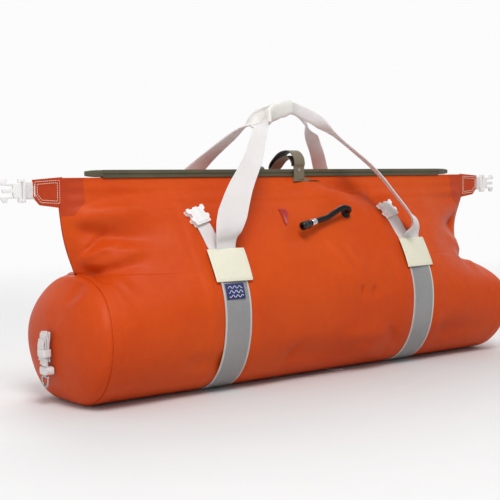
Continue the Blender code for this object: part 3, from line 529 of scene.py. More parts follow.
def weld_line(x, centre, width, height):
    """A welded overlap: a flat strip with soft shoulders, stood up by the fabric's thickness."""
    shoulder = 0.0022
    inside = smooth_step(x, centre - width / 2 - shoulder, centre - width / 2)
    return height * inside * (1.0 - smooth_step(x, centre + width / 2, centre + width / 2 + shoulder))


PANEL_SEAM_X = {-1: (-0.252, 0.150), 1: (-0.150, 0.252)}   # two welded overlaps on each face


def face_relief(x, z, side):
    """How far the real fabric stands off the plain face, in metres along the normal."""
    mirrored = x if side < 0 else -x
    folds = 1.6 * relief_of(RIDGES, mirrored, z)
    calm_top = 1.0 - smooth_step(z, 0.312, 0.330)
    calm_foot = smooth_step(z, 0.010, 0.045)
    calm_weld = 1.0 - smooth_step(np.abs(x), reach(z) - 0.030, reach(z) - 0.002)
    calm_seam = np.where(z < PINCH_HEIGHT, calm_weld, 1.0)
    relief = (folds * np.where(z > PINCH_HEIGHT, calm_weld, calm_seam) + ripple(x, z, 11 + side)
              * 0.55 * calm_weld) * calm_top * calm_foot
    under_seal = 0.0012 * np.sin((z - 0.296) * 2 * math.pi / 0.022) * smooth_step(z, 0.285, 0.300) * calm_top
    relief = relief + under_seal * calm_weld
    for band in (-BAND_X, BAND_X):
        relief = relief - 0.0010 * np.exp(-((x - band) / (BAND_WIDTH * 0.62)) ** 6) * (z < 0.23)
        beside = np.exp(-((np.abs(x - band) - 0.042) / 0.012) ** 2)
        relief = relief + 0.0016 * beside * smooth_step(z, 0.02, 0.06) * (1.0 - smooth_step(z, 0.17, 0.22))
        near_patch = np.exp(-((x - band) / 0.050) ** 4) * np.exp(-((z - 0.205) / 0.045) ** 4)
        relief = relief * (1.0 - 0.9 * near_patch) - 0.0006 * near_patch
    for seam in PANEL_SEAM_X[side]:
        relief = relief + weld_line(x, seam, 0.012, 0.0008) * calm_top
    relief = relief + weld_line(np.abs(x), SEAM_X - 0.008, 0.014, 0.0004) * (z < PINCH_HEIGHT - 0.01)
    return np.where(relief > 0.0065, 0.0065 + (relief - 0.0065) * 0.3, relief)


def slump(points):
    """How the soft ends settle: the right shoulder sinks and both sides of the throat draw in over it."""
    x, z = points[..., 0], points[..., 2]
    pull_left = 0.011 * smooth_step(-x, 0.34, 0.45) * np.exp(-((z - 0.182) / 0.045) ** 2)
    pull_right = 0.018 * smooth_step(x, 0.32, 0.44) * np.exp(-((z - 0.243) / 0.040) ** 2)
    drop = 0.020 * smooth_step(x, 0.27, 0.43) * np.exp(-((z - 0.188) / 0.050) ** 2)
    moved = points.copy()
    moved[..., 0] += pull_left - pull_right
    moved[..., 2] -= drop
    return moved


print("folds on a face:", len(RIDGES))

# %% [markdown]
# The shell is made of two broad faces, front and back, and two end caps. Each face is a grid: one
# parameter runs along the bag, the other starts under the bag's middle line, crosses the flat foot and
# climbs to the mouth. Rows are cosine spaced on the barrel, where it curves most. A Solidify modifier
# gives the fabric its thickness, so that an open mouth shows a real edge and an inside.

# %% The two faces
COLUMNS, ROWS = 250, 160
FOOT_ROWS, BARREL_ROWS = 8, 92
FABRIC = 0.0008


def face_rows():
    """Height of each row, and its share of the way across the foot."""
    foot = np.linspace(0.0, 1.0, FOOT_ROWS + 1)[:-1]
    angle = np.linspace(0.0, math.pi, BARREL_ROWS + 1)
    barrel = BAG_FLOOR + CAP_RADIUS * (1.0 - np.cos(angle))
    throat = np.linspace(PINCH_HEIGHT, LIP_TOP, ROWS - FOOT_ROWS - BARREL_ROWS)[1:]
    heights = np.concatenate([np.full(FOOT_ROWS, BAG_FLOOR), barrel, throat])
    across = np.concatenate([foot, np.ones(len(heights) - FOOT_ROWS)])
    return heights, across


def face_grid(side):
    """Points of one face: the plain face plus its relief along the normal."""
    heights, across = face_rows()
    u = np.linspace(-1.0, 1.0, COLUMNS)
    u = np.sign(u) * (1.0 - (1.0 - np.abs(u)) ** 1.15)
    z, u = np.meshgrid(heights, u, indexing="ij")
    x = u * reach(z)
    points, normal = face_frame(x, z, side)
    relief = face_relief(x, z, side)
    points = points + normal * relief[..., None] * across[:, None, None]
    foot_y = side * across[:, None] * half_depth(x, z)
    points[..., 1] = np.where(across[:, None] < 1.0, foot_y, points[..., 1])
    points[..., 2] = np.maximum(points[..., 2], BAG_FLOOR)
    points[..., 1] = side * np.maximum(side * points[..., 1], np.where(across[:, None] < 1.0, 0.0, WELD / 2))
    weld_edge = np.abs(u) > 0.9999
    points[..., 1] = np.where(weld_edge & (z > PINCH_HEIGHT - 1e-6), side * 0.0004, points[..., 1])
    return slump(points), x, z


for side, word in ((-1, "front"), (1, "back")):
    points, x, z = face_grid(side)
    n, m = x.shape
    quads = grid_faces(n, m)
    piece = make_piece(word + "_face", points, quads if side < 0 else quads[:, ::-1], ORANGE,
                       uv=np.stack([x, z], axis=-1))
    wall = piece.modifiers.new("fabric", "SOLIDIFY")
    wall.thickness, wall.offset = FABRIC, -1.0
    solid = shaped_mesh(piece)
    piece.modifiers.clear()
    piece.data = solid
    bend_between(piece)
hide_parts("bag_body", "front_lip")
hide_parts("back_lip")

# %% [markdown]
# An end cap is a flat disc welded into the barrel, which air and load push outwards. It is a dome over
# the seam's ellipse: polar rows from the rim to the pole, flattened at the foot as the barrel is. The
# folds that run in from the pinched top corner carry on over its rim, and a raised ring marks the weld.

# %% End caps
AROUND, RINGS = 144, 46


def cap_grid(side):
    """Polar grid over the seam's ellipse, rim to pole; x is the seam plus a dome of the bulge."""
    angle = np.linspace(0.0, 2 * math.pi, AROUND, endpoint=False)
    ring = np.sin(np.linspace(math.pi / 2, 0.0, RINGS))
    spread, turn_round = np.meshgrid(ring, angle, indexing="ij")
    rim_z = BAG_FLOOR + CAP_RADIUS * (1.0 - np.cos(turn_round))
    rim_y = np.sign(np.sin(turn_round)) * barrel_depth(rim_z)
    rim_y = np.where(np.abs(np.sin(turn_round)) < 1e-9, 0.0, rim_y)
    centre_z = BAG_FLOOR + CAP_RADIUS
    y = rim_y * spread
    z = centre_z + (rim_z - centre_z) * spread
    dome = CAP_BULGE * np.sqrt(np.clip(1.0 - spread ** 2.3, 0.0, 1.0))
    wave = 0.0011 * np.sin(5 * turn_round + 0.6) * spread * (1.0 - spread ** 4)
    wave += 0.0016 * np.exp(-((turn_round - math.pi) / 0.5) ** 2) * np.sin(spread * 14.0) * spread ** 2
    wave += 0.0004 * weld_line(spread, 0.955, 0.045, 1.0)
    pleat = -0.0060 * np.exp(-((np.sin(turn_round - math.pi + side * 0.35)) / 0.10) ** 2)
    pleat += 0.0040 * np.exp(-((np.sin(turn_round - math.pi + side * 0.62)) / 0.12) ** 2)
    wave += pleat * (np.cos(turn_round) < 0) * smooth_step(spread, 0.55, 0.9) * (1.0 - spread ** 12)
    x = side * (SEAM_X + dome + wave * (spread < 0.9999))
    return slump(np.stack([x, y, z], axis=-1))


for side, word in ((-1, "left"), (1, "right")):
    rings = cap_grid(side)[:-1]
    pole = np.array([[side * (SEAM_X + CAP_BULGE), 0.0, BAG_FLOOR + CAP_RADIUS]])
    body = grid_faces(RINGS - 1, AROUND, close_v=True)
    last = (RINGS - 2) * AROUND
    fan = [(last + k, last + (k + 1) % AROUND, last + AROUND) for k in range(AROUND)]
    lid = [tuple(range(AROUND))[::-1]]
    shell = np.concatenate([rings.reshape(-1, 3), pole])
    piece = make_piece(word + "_cap", shell, [*body.tolist(), *fan, *lid], ORANGE, uv=shell[:, 1:])
    face_outwards(piece)
    soften(piece, 60.0)
    settle(piece, "root", [word + "_end_cap"])
print("caps: 2, each with", AROUND * RINGS, "points")

# %% [markdown]
# Straps, strips and tubes are all one move: a closed profile carried along a path. The frame at each step
# is the path's direction, a width direction that the strap chooses, and the normal to both. A flat
# strap's profile is a rounded rectangle; its corners are a superellipse so that the edge catches light
# like webbing.

# %% Sweeps
def through(points, count):
    """Catmull-Rom curve through the points, sampled evenly in its own parameter."""
    points = np.asarray(points, float)
    padded = np.vstack([2 * points[0] - points[1], points, 2 * points[-1] - points[-2]])
    place = np.linspace(0.0, len(points) - 1, count)
    index = np.minimum(place.astype(int), len(points) - 2)
    t = (place - index)[:, None]
    p0, p1, p2, p3 = (padded[index + k] for k in range(4))
    return 0.5 * (2 * p1 + (p2 - p0) * t + (2 * p0 - 5 * p1 + 4 * p2 - p3) * t ** 2
                  + (3 * p1 - p0 - 3 * p2 + p3) * t ** 3)


def unit(vectors):
    return vectors / np.maximum(np.linalg.norm(vectors, axis=-1, keepdims=True), 1e-12)


def frames(path, wide):
    """Along, width and outward directions at each point of a path."""
    along = unit(np.gradient(path, axis=0))
    wide = np.broadcast_to(np.asarray(wide, float), path.shape)
    wide = unit(wide - along * np.sum(wide * along, axis=1, keepdims=True))
    return along, wide, np.cross(wide, along)


def flat_profile(count=20, power=6.0):
    """Unit superellipse, as (across, out) pairs from -0.5 to 0.5."""
    angle = np.linspace(0.0, 2 * math.pi, count, endpoint=False) + math.pi / count
    c, s = np.cos(angle), np.sin(angle)
    across = np.sign(c) * np.abs(c) ** (2 / power)
    out = np.sign(s) * np.abs(s) ** (2 / power)
    return 0.5 * np.stack([across, out], axis=-1)


def sweep(name, path, wide, width, thickness, material, profile=None, curl=0.0, lift=0.0):
    """A closed solid along the path. curl bows the section, as a strap under load; lift moves it outwards."""
    path = np.asarray(path, float)
    profile = flat_profile() if profile is None else profile
    along, wide, out = frames(path, wide)
    count = len(path)
    width, thickness, curl, lift = (np.broadcast_to(np.asarray(value, float), (count,))[:, None]
                                    for value in (width, thickness, curl, lift))
    across = profile[:, 0][None, :] * width
    depth = profile[:, 1][None, :] * thickness + curl * (1.0 - (2 * profile[:, 0][None, :]) ** 2) + lift
    points = path[:, None] + wide[:, None] * across[..., None] + out[:, None] * depth[..., None]
    length = np.concatenate([[0.0], np.cumsum(np.linalg.norm(np.diff(path, axis=0), axis=1))])
    uv = np.stack([across, np.broadcast_to(length[:, None], across.shape)], axis=-1)
    k = len(profile)
    faces = grid_faces(count, k, close_v=True).tolist()
    ends = [tuple(range(k)), tuple(range((count - 1) * k, count * k))[::-1]]
    piece = make_piece(name, points, faces + ends, material, uv=uv)
    face_outwards(piece)
    return soften(piece, 50.0)


def tube(name, path, radius, material, around=18):
    """A round sweep; radius may change along the path."""
    angle = np.linspace(0.0, 2 * math.pi, around, endpoint=False)
    circle = 0.5 * np.stack([np.cos(angle), np.sin(angle)], axis=-1)
    path = np.asarray(path, float)
    along = unit(path[-1] - path[0])
    wide = np.array([0.0, 0.0, 1.0]) if abs(along[2]) < 0.9 else np.array([1.0, 0.0, 0.0])
    return sweep(name, path, wide, 2 * np.asarray(radius), 2 * np.asarray(radius), material, circle)


def join(pieces, name):
    """One object out of several, which keeps each one's material."""
    bpy.ops.object.select_all(action="DESELECT")
    for piece in pieces:
        piece.select_set(True)
    bpy.context.view_layer.objects.active = pieces[0]
    bpy.ops.object.join()
    pieces[0].name = name
    return pieces[0]


print("sweep profile points:", len(flat_profile()))

# %% [markdown]
# The press seal is an extruded strip on each lip. It has a rounded bead along its top, a flat flange
# below, and a slight gloss. The real seal bends open like a mouth; at its ends the two strips are welded
# into moulded stops.

# %% Press seal
SEAL_BOTTOM = BAG_HEIGHT - 0.0128
for side, word in ((-1, "front"), (1, "back")):
    x = np.linspace(-LIP_X, LIP_X, 181)
    bead = np.array([(0.0, 0.0), (0.75, 0.0), (1.0, 0.08), (1.0, 0.30), (0.72, 0.38), (0.72, 0.50),
                     (1.0, 0.58),
                     (1.0, 0.86), (0.80, 1.0), (0.0, 1.0)])
    y = side * (0.0003 + bead[:, 0] * 0.0041)
    z = SEAL_BOTTOM + bead[:, 1] * (BAG_HEIGHT - SEAL_BOTTOM)
    grid = np.stack(np.broadcast_arrays(x[:, None], y[None, :], z[None, :]), axis=-1)
    k = len(bead)
    faces = grid_faces(len(x), k, close_v=True).tolist()
    faces += [tuple(range(k)), tuple(range((len(x) - 1) * k, len(x) * k))[::-1]]
    uv = np.stack(np.broadcast_arrays(x[:, None], z[None, :]), axis=-1)
    piece = face_outwards(make_piece(word + "_seal", grid, faces, OLIVE, uv=uv))
    soften(piece, 40.0)
    bend_between(piece)
    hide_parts(word + "_seal_strip")
for side, word in ((-1, "left"), (1, "right")):
    low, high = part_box(word + "_seal_end")
    x = np.linspace(side * (LIP_X + 0.0003), side * 0.399, 24)
    path = np.stack([x, np.zeros_like(x), np.full_like(x, (low.z + high.z) / 2)], axis=-1)
    share = np.linspace(0.0, 1.0, 24)
    height = 0.011 * (1.0 - 0.35 * share ** 3)
    depth = 0.0088 * (1.0 - 0.55 * share ** 2)
    piece = sweep(word + "_seal_stop", path, (0, 0, 1), height, depth, OLIVE, flat_profile(20, 4.0))
    settle(piece, "root", [word + "_seal_end"])
print("seal strips run from", round(-LIP_X, 3), "to", round(LIP_X, 3), "m")

# %% [markdown]
# Grey reflective bands run from the front patch under the bag to the back patch. Each follows the plain
# face about a millimetre off it, and crosses the foot flat, because the bag stands on them. They are
# woven webbing with pale selvedges, so each edge is a narrow strip of its own, in a paler finish, joined
# to the middle.

# %% Bands
def band_path(x, count=120):
    """Down the front face, across the foot and up the back face, as points."""
    lift = 0.0011
    angle = np.linspace(2.62, 0.0, count // 2)
    z = BAG_FLOOR + CAP_RADIUS * (1.0 - np.cos(angle))
    front, _ = face_frame(x, z, -1, np.full_like(z, lift))
    foot_y = np.linspace(-FOOT / 2, FOOT / 2, 14)[1:-1]
    foot = np.stack([np.full_like(foot_y, x), foot_y, np.full_like(foot_y, BAG_FLOOR - lift)], axis=-1)
    front[:, 2] = np.maximum(front[:, 2], BAG_FLOOR - lift)
    back = front[::-1] * np.array([1.0, -1.0, 1.0])
    return np.vstack([front, foot, back])


BAND = finish("grey_band", (0.335, 0.335, 0.335), (0.29, 0.29, 0.295), 0.46, size=10.0,
              weave=(0.0042, 0.0021, 0.55), bump=0.00035, Metallic=0.15)
SELVEDGE = finish("band_selvedge", (0.62, 0.60, 0.57), (0.54, 0.52, 0.50), 0.6, size=10.0,
                  weave=(0.0012, 0.0016, 0.35), bump=0.0002)
for side, word in ((-1, "left"), (1, "right")):
    path = band_path(side * BAND_X)
    middle = sweep(word + "_band_web", path, (1, 0, 0), BAND_WIDTH - 0.006, 0.0015, BAND)
    edges = [sweep(word + "_band_edge", path + np.array([offset, 0, 0]), (1, 0, 0), 0.0031, 0.0017, SELVEDGE)
             for offset in (-(BAND_WIDTH - 0.003) / 2, (BAND_WIDTH - 0.003) / 2)]
    settle(join([middle, *edges], word + "_band_web"), "root", [word + "_band"])
print("band length:", round(path_length(path), 3), "m")

# %% [markdown]
# A cream patch is welded over each end of a handle and the top of its band. It is a thin pad with rounded
# corners that lies on the face, slightly bowed where the strap runs under it, with a row of stitches
# round it. The stitches are short capsules laid along a path, because real thread stands up from the
# cloth.

# %% Patches and stitches
def stitches(name, path, normals, material, pitch=0.0042, gap=0.35, radius=0.00042):
    """Short six-sided capsules laid end to end along a path, lifted by the normals."""
    path, normals = np.asarray(path, float), np.asarray(normals, float)
    length = np.concatenate([[0.0], np.cumsum(np.linalg.norm(np.diff(path, axis=0), axis=1))])
    count = max(1, int(length[-1] / pitch))
    starts = (np.arange(count) + gap / 2) * length[-1] / count
    ends = starts + (1.0 - gap) * length[-1] / count
    share = np.linspace(0.0, 1.0, 5)
    at = starts[:, None] + (ends - starts)[:, None] * share[None, :]
    centre = np.stack([np.interp(at, length, path[:, k]) for k in range(3)], axis=-1)
    out = unit(np.stack([np.interp(at, length, normals[:, k]) for k in range(3)], axis=-1))
    along = unit(centre[:, -1] - centre[:, 0])[:, None]
    wide = unit(np.cross(along, out))
    sink = radius * np.array([-0.6, 0.5, 0.8, 0.5, -0.6])
    size = radius * np.array([0.35, 0.95, 1.0, 0.95, 0.35])
    angle = np.linspace(0.0, 2 * math.pi, 6, endpoint=False)
    ring = (wide[:, :, None] * np.cos(angle)[:, None] + out[:, :, None] * np.sin(angle)[:, None])
    points = (centre + out * sink[None, :, None])[:, :, None] + ring * size[None, :, None, None]
    one = grid_faces(5, 6, close_v=True)
    caps = [tuple(range(6)), tuple(range(24, 30))[::-1]]
    faces = []
    for k in range(count):
        faces += (one + 30 * k).tolist() + [tuple(corner + 30 * k for corner in cap) for cap in caps]
    piece = make_piece(name, points, faces, material)
    return face_outwards(piece)


def patch_pad(name, centre_x, side, width, low, high, lift, thickness, material, bow=0.0, corner=0.004):
    """A rounded pad on the face: a closed grid whose rim turns under, thickest in its middle."""
    n, m = 34, 30
    u, v = np.meshgrid(np.linspace(-1, 1, n), np.linspace(-1, 1, m), indexing="ij")
    x = centre_x + u * width / 2
    z = (low + high) / 2 + v * (high - low) / 2
    edge_x = width / 2 - np.abs(x - centre_x)
    edge_z = (high - low) / 2 - np.abs(z - (low + high) / 2)
    rim = np.minimum(edge_x, edge_z)
    swell = bow * np.exp(-((x - centre_x) / 0.021) ** 4) * smooth_step(v, -0.2, 0.6)
    top, _ = face_frame(x, z, side, lift + thickness * smooth_step(rim, -0.0006, 0.0012) + swell)
    under, _ = face_frame(x, z, side, np.full_like(x, lift - 0.0002))
    cut_corner = (edge_x + edge_z) < corner * 0.4
    shrink = np.where(cut_corner, 1.0 - corner * 0.25 / (width / 2), 1.0)
    middle = np.array([centre_x, 0.0, (low + high) / 2])
    top = np.where(shrink[..., None] < 1.0, middle + (top - middle) * np.stack(
        [shrink, np.ones_like(shrink), shrink], axis=-1), top)
    points, faces = closed_sheet(top, under)
    uv = np.tile(np.stack([x, z], axis=-1).reshape(-1, 2), (2, 1))
    piece = face_outwards(make_piece(name, points, faces, material, uv=uv))
    return soften(piece, 50.0)


PATCH_LOW, PATCH_HIGH, PATCH_WIDTH = 0.174, 0.222, 0.066
PATCH_LIFT, PATCH_THICKNESS, STITCH_LIFT = 0.0046, 0.0012, 0.0060
for depth, depth_word in ((-1, "front"), (1, "back")):
    for side, word in ((-1, "left"), (1, "right")):
        centre = side * BAND_X
        pad = patch_pad(f"{depth_word}_{word}_patch_pad", centre, depth, PATCH_WIDTH, PATCH_LOW, PATCH_HIGH,
                        PATCH_LIFT, PATCH_THICKNESS, CREAM, bow=0.0010)
        inset = 0.004
        left, right_edge = centre - PATCH_WIDTH / 2 + inset, centre + PATCH_WIDTH / 2 - inset
        low, high = PATCH_LOW + inset, PATCH_HIGH - inset
        x = np.concatenate([np.linspace(left, right_edge, 30), np.full(20, right_edge),
                            np.linspace(right_edge, left, 30), np.full(20, left)])
        z = np.concatenate([np.full(30, low), np.linspace(low, high, 20), np.full(30, high),
                            np.linspace(high, low, 20)])
        path, out = face_frame(x, z, depth, np.full_like(x, STITCH_LIFT))
        thread = stitches(f"{depth_word}_{word}_patch_stitch", path, out, CREAM_THREAD)
        settle(join([pad, thread], pad.name), "root", [f"{depth_word}_{word}_patch"])
print("patches: 4, each", PATCH_WIDTH, "m wide")

# %% [markdown]
# The handles are the piece the eye follows. Each is one long strap, wide at the patches, gathered narrow
# at the top where a cream sleeve holds both together. Its width direction turns along the way, so the
# strap shows its face low down, its edge halfway up, and its face again at the grip. It stays put under
# the patch and bends from there.

# %% Handle straps
HINGE_Z = 0.230
HANDLE_STAND = 0.009
START_Y = float(half_depth(BAND_X, HINGE_Z)) + HANDLE_STAND


def handle_route(side):
    """The frame's own route, in metres, for the front (-1) or back (1) handle."""
    apex = side * 0.0048
    return [(-0.205, side * START_Y, 0.230), (-0.204, side * 0.097, 0.258), (-0.176, side * 0.087, 0.310),
            (-0.138, side * 0.070, 0.356), (-0.096, side * 0.036, 0.402), (-0.060, side * 0.012, 0.434),
            (-0.028, apex, 0.446), (0.0, apex, 0.452), (0.024, apex, 0.445), (0.058, side * 0.016, 0.424),
            (0.096, side * 0.044, 0.388), (0.132, side * 0.070, 0.350), (0.170, side * 0.087, 0.304),
            (0.204, side * 0.097, 0.258), (0.205, side * START_Y, 0.230)]


def handle_frame(share, twist=0.0):
    """Width direction along the route: along X low down, upright at the grip; twist turns it in plan."""
    grip = np.exp(-((share - 0.5) / 0.17) ** 4)[:, None]
    leg = np.where(share < 0.5, 1.0, -1.0)
    lean = 0.25 * np.minimum(1.0, 5.0 * np.minimum(share, 1.0 - share))
    low = np.stack([leg * np.cos(twist), leg * np.sin(twist), lean], axis=-1)
    return low * (1.0 - grip) + np.array([0.0, 0.0, 1.0]) * grip


def leg_twist(side, share):
    """Degrees that each leg is turned in plan: the front legs twist unlike, the back legs alike."""
    middle = np.exp(-((share - 0.5) / 0.14) ** 4)
    ends = smooth_step(share, 0.0, 0.10) * (1.0 - smooth_step(share, 0.93, 1.0))
    if side < 0:
        turn = np.where(share < 0.5, -24.0 * np.exp(-((share - 0.12) / 0.16) ** 2),
                        44.0 * smooth_step(share, 0.56, 0.76))
    else:
        turn = np.where(share < 0.5, -8.0, 14.0)
    return np.radians(turn * (1.0 - middle) * ends)


for side, word in ((-1, "front"), (1, "back")):
    count = 241
    share = np.linspace(0.0, 1.0, count)
    points = handle_route(side)
    if side < 0:
        points[11:14] = [(0.124, -0.070, 0.352), (0.158, -0.090, 0.308), (0.192, -0.104, 0.262)]
    route = through(points, count)
    tail = 10
    under_z = np.linspace(0.198, 0.2205, tail)
    under_lift = np.linspace(0.0030, 0.0034, tail)
    left_end, _ = face_frame(np.full(tail, -BAND_X), under_z, side, under_lift)
    right_end, _ = face_frame(np.full(tail, BAND_X), under_z[::-1], side, under_lift[::-1])
    path = np.vstack([left_end, route, right_end])
    share = np.concatenate([np.zeros(tail), share, np.ones(tail)])
    for _ in range(2):
        path[1:-1] = (path[:-2] + 2 * path[1:-1] + path[2:]) / 4
    from_end = np.minimum(share, 1.0 - share)
    gathered = smooth_step(from_end, 0.10, 0.34)
    bunched = 1.0 - smooth_step(from_end, 0.0, 0.09)
    width = np.interp(from_end, [0.0, 0.03, 0.10, 0.19, 0.28, 0.36, 0.5],
                      [0.036, 0.038, 0.046, 0.034, 0.0255, 0.0215, 0.020])
    curl = 0.0030 * side * np.sin(share * math.pi) * (1.0 - 0.3 * gathered)
    curl = curl + 0.0022 * side * bunched * np.sin(share * 90.0)
    wobble = 0.0012 * np.sin(share * 34.0 + side) * np.sin(share * math.pi)
    path = path + np.stack([wobble, -wobble, 0.6 * wobble], axis=-1)
    strap = sweep(word + "_handle_web", path, handle_frame(share, leg_twist(side, share)), width, 0.0024,
                  WHITE_WEB, curl=curl)
    bend_between(strap)
    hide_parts(word + "_handle_strap")
print("handle strap length:", round(path_length(path), 3), "m")

# %% [markdown]
# The grip sleeve is a soft folded wrap round each strap. It is a closed pad with creases where the hand
# bends it, and its open end shows the edge of the layers inside. It rides with its handle.

# %% Grip sleeves
for side, word in ((-1, "front"), (1, "back")):
    share = np.linspace(0.330, 0.492, 60)
    route = through(handle_route(side), 401)
    index = share * 400
    path = np.stack([np.interp(index, np.arange(401), route[:, k]) for k in range(3)], axis=-1)
    local = np.linspace(0.0, 1.0, 60)
    pinch = np.exp(-((local - 1.0) / 0.10) ** 2)
    height = 0.027 - 0.004 * pinch + 0.0012 * np.sin(local * 21.0 + side)
    depth = 0.0105 * (0.80 + 0.20 * np.sin(local * math.pi)) - 0.0012 * pinch
    piece = sweep(word + "_grip_sleeve", path, handle_frame(share), height, depth, SLEEVE,
                  flat_profile(28, 2.8),
                  lift=side * 0.0042)
    settle(piece, word + "_handle", [word + "_grip_wrap"])
print("sleeves: 2")

# %% [markdown]
# At each end of the mouth the two faces are welded into a reinforced panel, which narrows to a tab. White
# thread boxes the tab where it holds a short web, and a side-release buckle hangs on that web. The panel
# is a second layer on the faces, a little darker; the tab is a flat plate with a chamfered lower corner.

# %% Throat panels and tabs
def outline_plate(name, outline, thickness, material, round_edge=0.0006):
    """A flat plate in the XZ plane from its outline, with a small bevel round its edges."""
    count = len(outline)
    outline = np.asarray(outline, float)
    front = np.stack([outline[:, 0], np.full(count, -thickness / 2), outline[:, 1]], axis=-1)
    back = front * np.array([1.0, -1.0, 1.0])
    walls = [(k, (k + 1) % count, (k + 1) % count + count, k + count) for k in range(count)]
    faces = [tuple(range(count)), tuple(range(count, 2 * count))[::-1], *walls]
    piece = make_piece(name, np.vstack([front, back]), faces, material, smooth=False)
    face_outwards(piece)
    bevel = piece.modifiers.new("edge", "BEVEL")
    bevel.width, bevel.segments, bevel.limit_method = round_edge, 3, "ANGLE"
    bevel.angle_limit = math.radians(30.0)
    piece.data = shaped_mesh(piece)
    piece.modifiers.clear()
    piece.data.shade_smooth()
    layer = piece.data.uv_layers.get("metres") or piece.data.uv_layers.new(name="metres")
    corners = np.zeros(len(piece.data.loops), dtype=np.int32)
    piece.data.loops.foreach_get("vertex_index", corners)
    spots = spots_of(piece.data)[corners]
    layer.data.foreach_set("uv", spots[:, [0, 2]].astype(np.float32).ravel())
    return soften(piece, 30.0)


TAB_START, TAB_END = THROAT_X - 0.009, THROAT_X + 0.0375
BUCKLE_Z = LIP_TOP - 0.018
PANEL_IN, PANEL_FOOT, PANEL_TOP = 0.402, 0.2775, 0.3350
for side, word in ((-1, "left"), (1, "right")):
    for depth, depth_word in ((-1, "front"), (1, "back")):
        n, m = 20, 26
        v = np.linspace(0.0, 1.0, m)
        z = PANEL_FOOT + v * (PANEL_TOP - PANEL_FOOT)
        inner = np.interp(z, [PANEL_FOOT, 0.300, 0.336], [0.424, PANEL_IN + 0.001, PANEL_IN])
        u = np.linspace(0.0, 1.0, n)
        x = inner[None, :] + (reach(z)[None, :] - 0.0006 - inner[None, :]) * u[:, None]
        z = np.broadcast_to(z, x.shape)
        lift = np.minimum(smooth_step(u[:, None], -0.02, 0.06), smooth_step(v[None, :], -0.02, 0.06))
        lift = 0.0005 + 0.0005 * lift
        top, out = face_frame(side * x, z, depth)
        relief = face_relief(side * x, z, depth)
        top = slump(top + out * (relief + lift)[..., None])
        under = top - out * 0.0008
        points, faces = closed_sheet(top, under)
        piece = make_piece(f"{word}_{depth_word}_panel", points, faces, PATCH_ORANGE)
        face_outwards(piece)
        soften(piece, 40.0)
        bend_between(piece)
    top, low = LIP_TOP, LIP_TOP - 0.040
    outline = [(TAB_START, low - 0.004), (TAB_END - 0.011, low + 0.001), (TAB_END, low + 0.013),
               (TAB_END, top - 0.003), (TAB_START, top + 0.0005)]
    plate = outline_plate(word + "_tab", [(side * x, z) for x, z in outline], 0.0030, PATCH_ORANGE)
    boxes = []
    for depth in (-1, 1):
        for grow in (0.0, 0.0035):
            corners = [(TAB_START + 0.008 - grow, low + 0.006 - grow),
                       (TAB_END - 0.013 + grow / 2, low + 0.008 - grow),
                       (TAB_END - 0.006 + grow, low + 0.017), (TAB_END - 0.006 + grow, top - 0.009 + grow),
                       (TAB_START + 0.008 - grow, top - 0.007 + grow)]
            corners.append(corners[0])
            corners = np.array([(side * x, depth * 0.0017, z) for x, z in corners])
            steps = np.linspace(0, len(corners) - 1, 90)
            path = np.stack([np.interp(steps, np.arange(len(corners)), corners[:, k]) for k in range(3)],
                            axis=-1)
            boxes.append(stitches(word + "_tab_stitch", path, np.tile([0.0, depth, 0.0], (90, 1)), THREAD,
                                  pitch=0.0034, gap=0.22, radius=0.00062))
    settle(join([plate, *boxes], word + "_tab"), "root", [word + "_end_tab"])
    hinge_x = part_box(word + "_buckle_body")[0].x if side > 0 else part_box(word + "_buckle_body")[1].x
    x = np.linspace(side * (TAB_END - 0.003), hinge_x + side * 0.0045, 24)
    path = np.stack([x, 0.0006 * np.sin(np.linspace(0, 3.0, 24)), np.full(24, BUCKLE_Z)], axis=-1)
    web = sweep(word + "_tab_webbing", path, (0, 0, 1), 0.025, 0.0034, WHITE_WEB, flat_profile(20, 4.0))
    bend_between(web)
    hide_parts(word + "_tab_web")
print("buckle webs end at", round(abs(hinge_x) + 0.0045, 4), "m")

# %% [markdown]
# Buckle parts are moulded, and their shape in the frame is already right, down to the slots and arms.
# What they lack is the small radius that every moulding has. So each is a merged copy of its plain part
# with its flat facets dissolved, a bevel run round its edges, and the acetal finish. The two sockets on
# the front have a finer outline than their plain parts, so they are made in the next step.

# %% Moulded parts
def moulded(node, body, material, radius, segments=3):
    """A copy of a plain part with its doubles merged, flats dissolved and edges rounded by a bevel."""
    import bmesh
    bm = bmesh.new()
    bm.from_mesh(frame["nodes"][node].data)
    bmesh.ops.remove_doubles(bm, verts=bm.verts, dist=1e-5)
    bmesh.ops.dissolve_limit(bm, angle_limit=math.radians(2.0), verts=bm.verts, edges=bm.edges)
    mesh = bpy.data.meshes.new(node + "_moulding")
    bm.to_mesh(mesh)
    bm.free()
    mesh.materials.clear()
    mesh.materials.append(material)
    piece = bpy.data.objects.new(node + "_moulding", mesh)
    bpy.context.scene.collection.objects.link(piece)
    bevel = piece.modifiers.new("radius", "BEVEL")
    bevel.width, bevel.segments, bevel.limit_method = radius, segments, "ANGLE"
    bevel.angle_limit = math.radians(35.0)
    bevel.use_clamp_overlap = True
    piece.data = shaped_mesh(piece)
    piece.modifiers.clear()
    piece.data.shade_smooth()
    soften(piece, 40.0)
    return settle(piece, body, [node])


for word in ("left", "right"):
    moulded(word + "_buckle_body", word + "_end_buckle", ACETAL, 0.0007)
    for level in ("upper", "lower"):
        moulded(f"{word}_{level}_latch_arm", f"{word}_{level}_latch_arm", ACETAL, 0.0006)
print("moulded parts:", 6)

# %% [markdown]
# The two spare buckles on the front hang on short webs that come out from under the patches and lean
# over. The web is one strap, sewn flat under the patch, that doubles through the buckle's bar at its top.

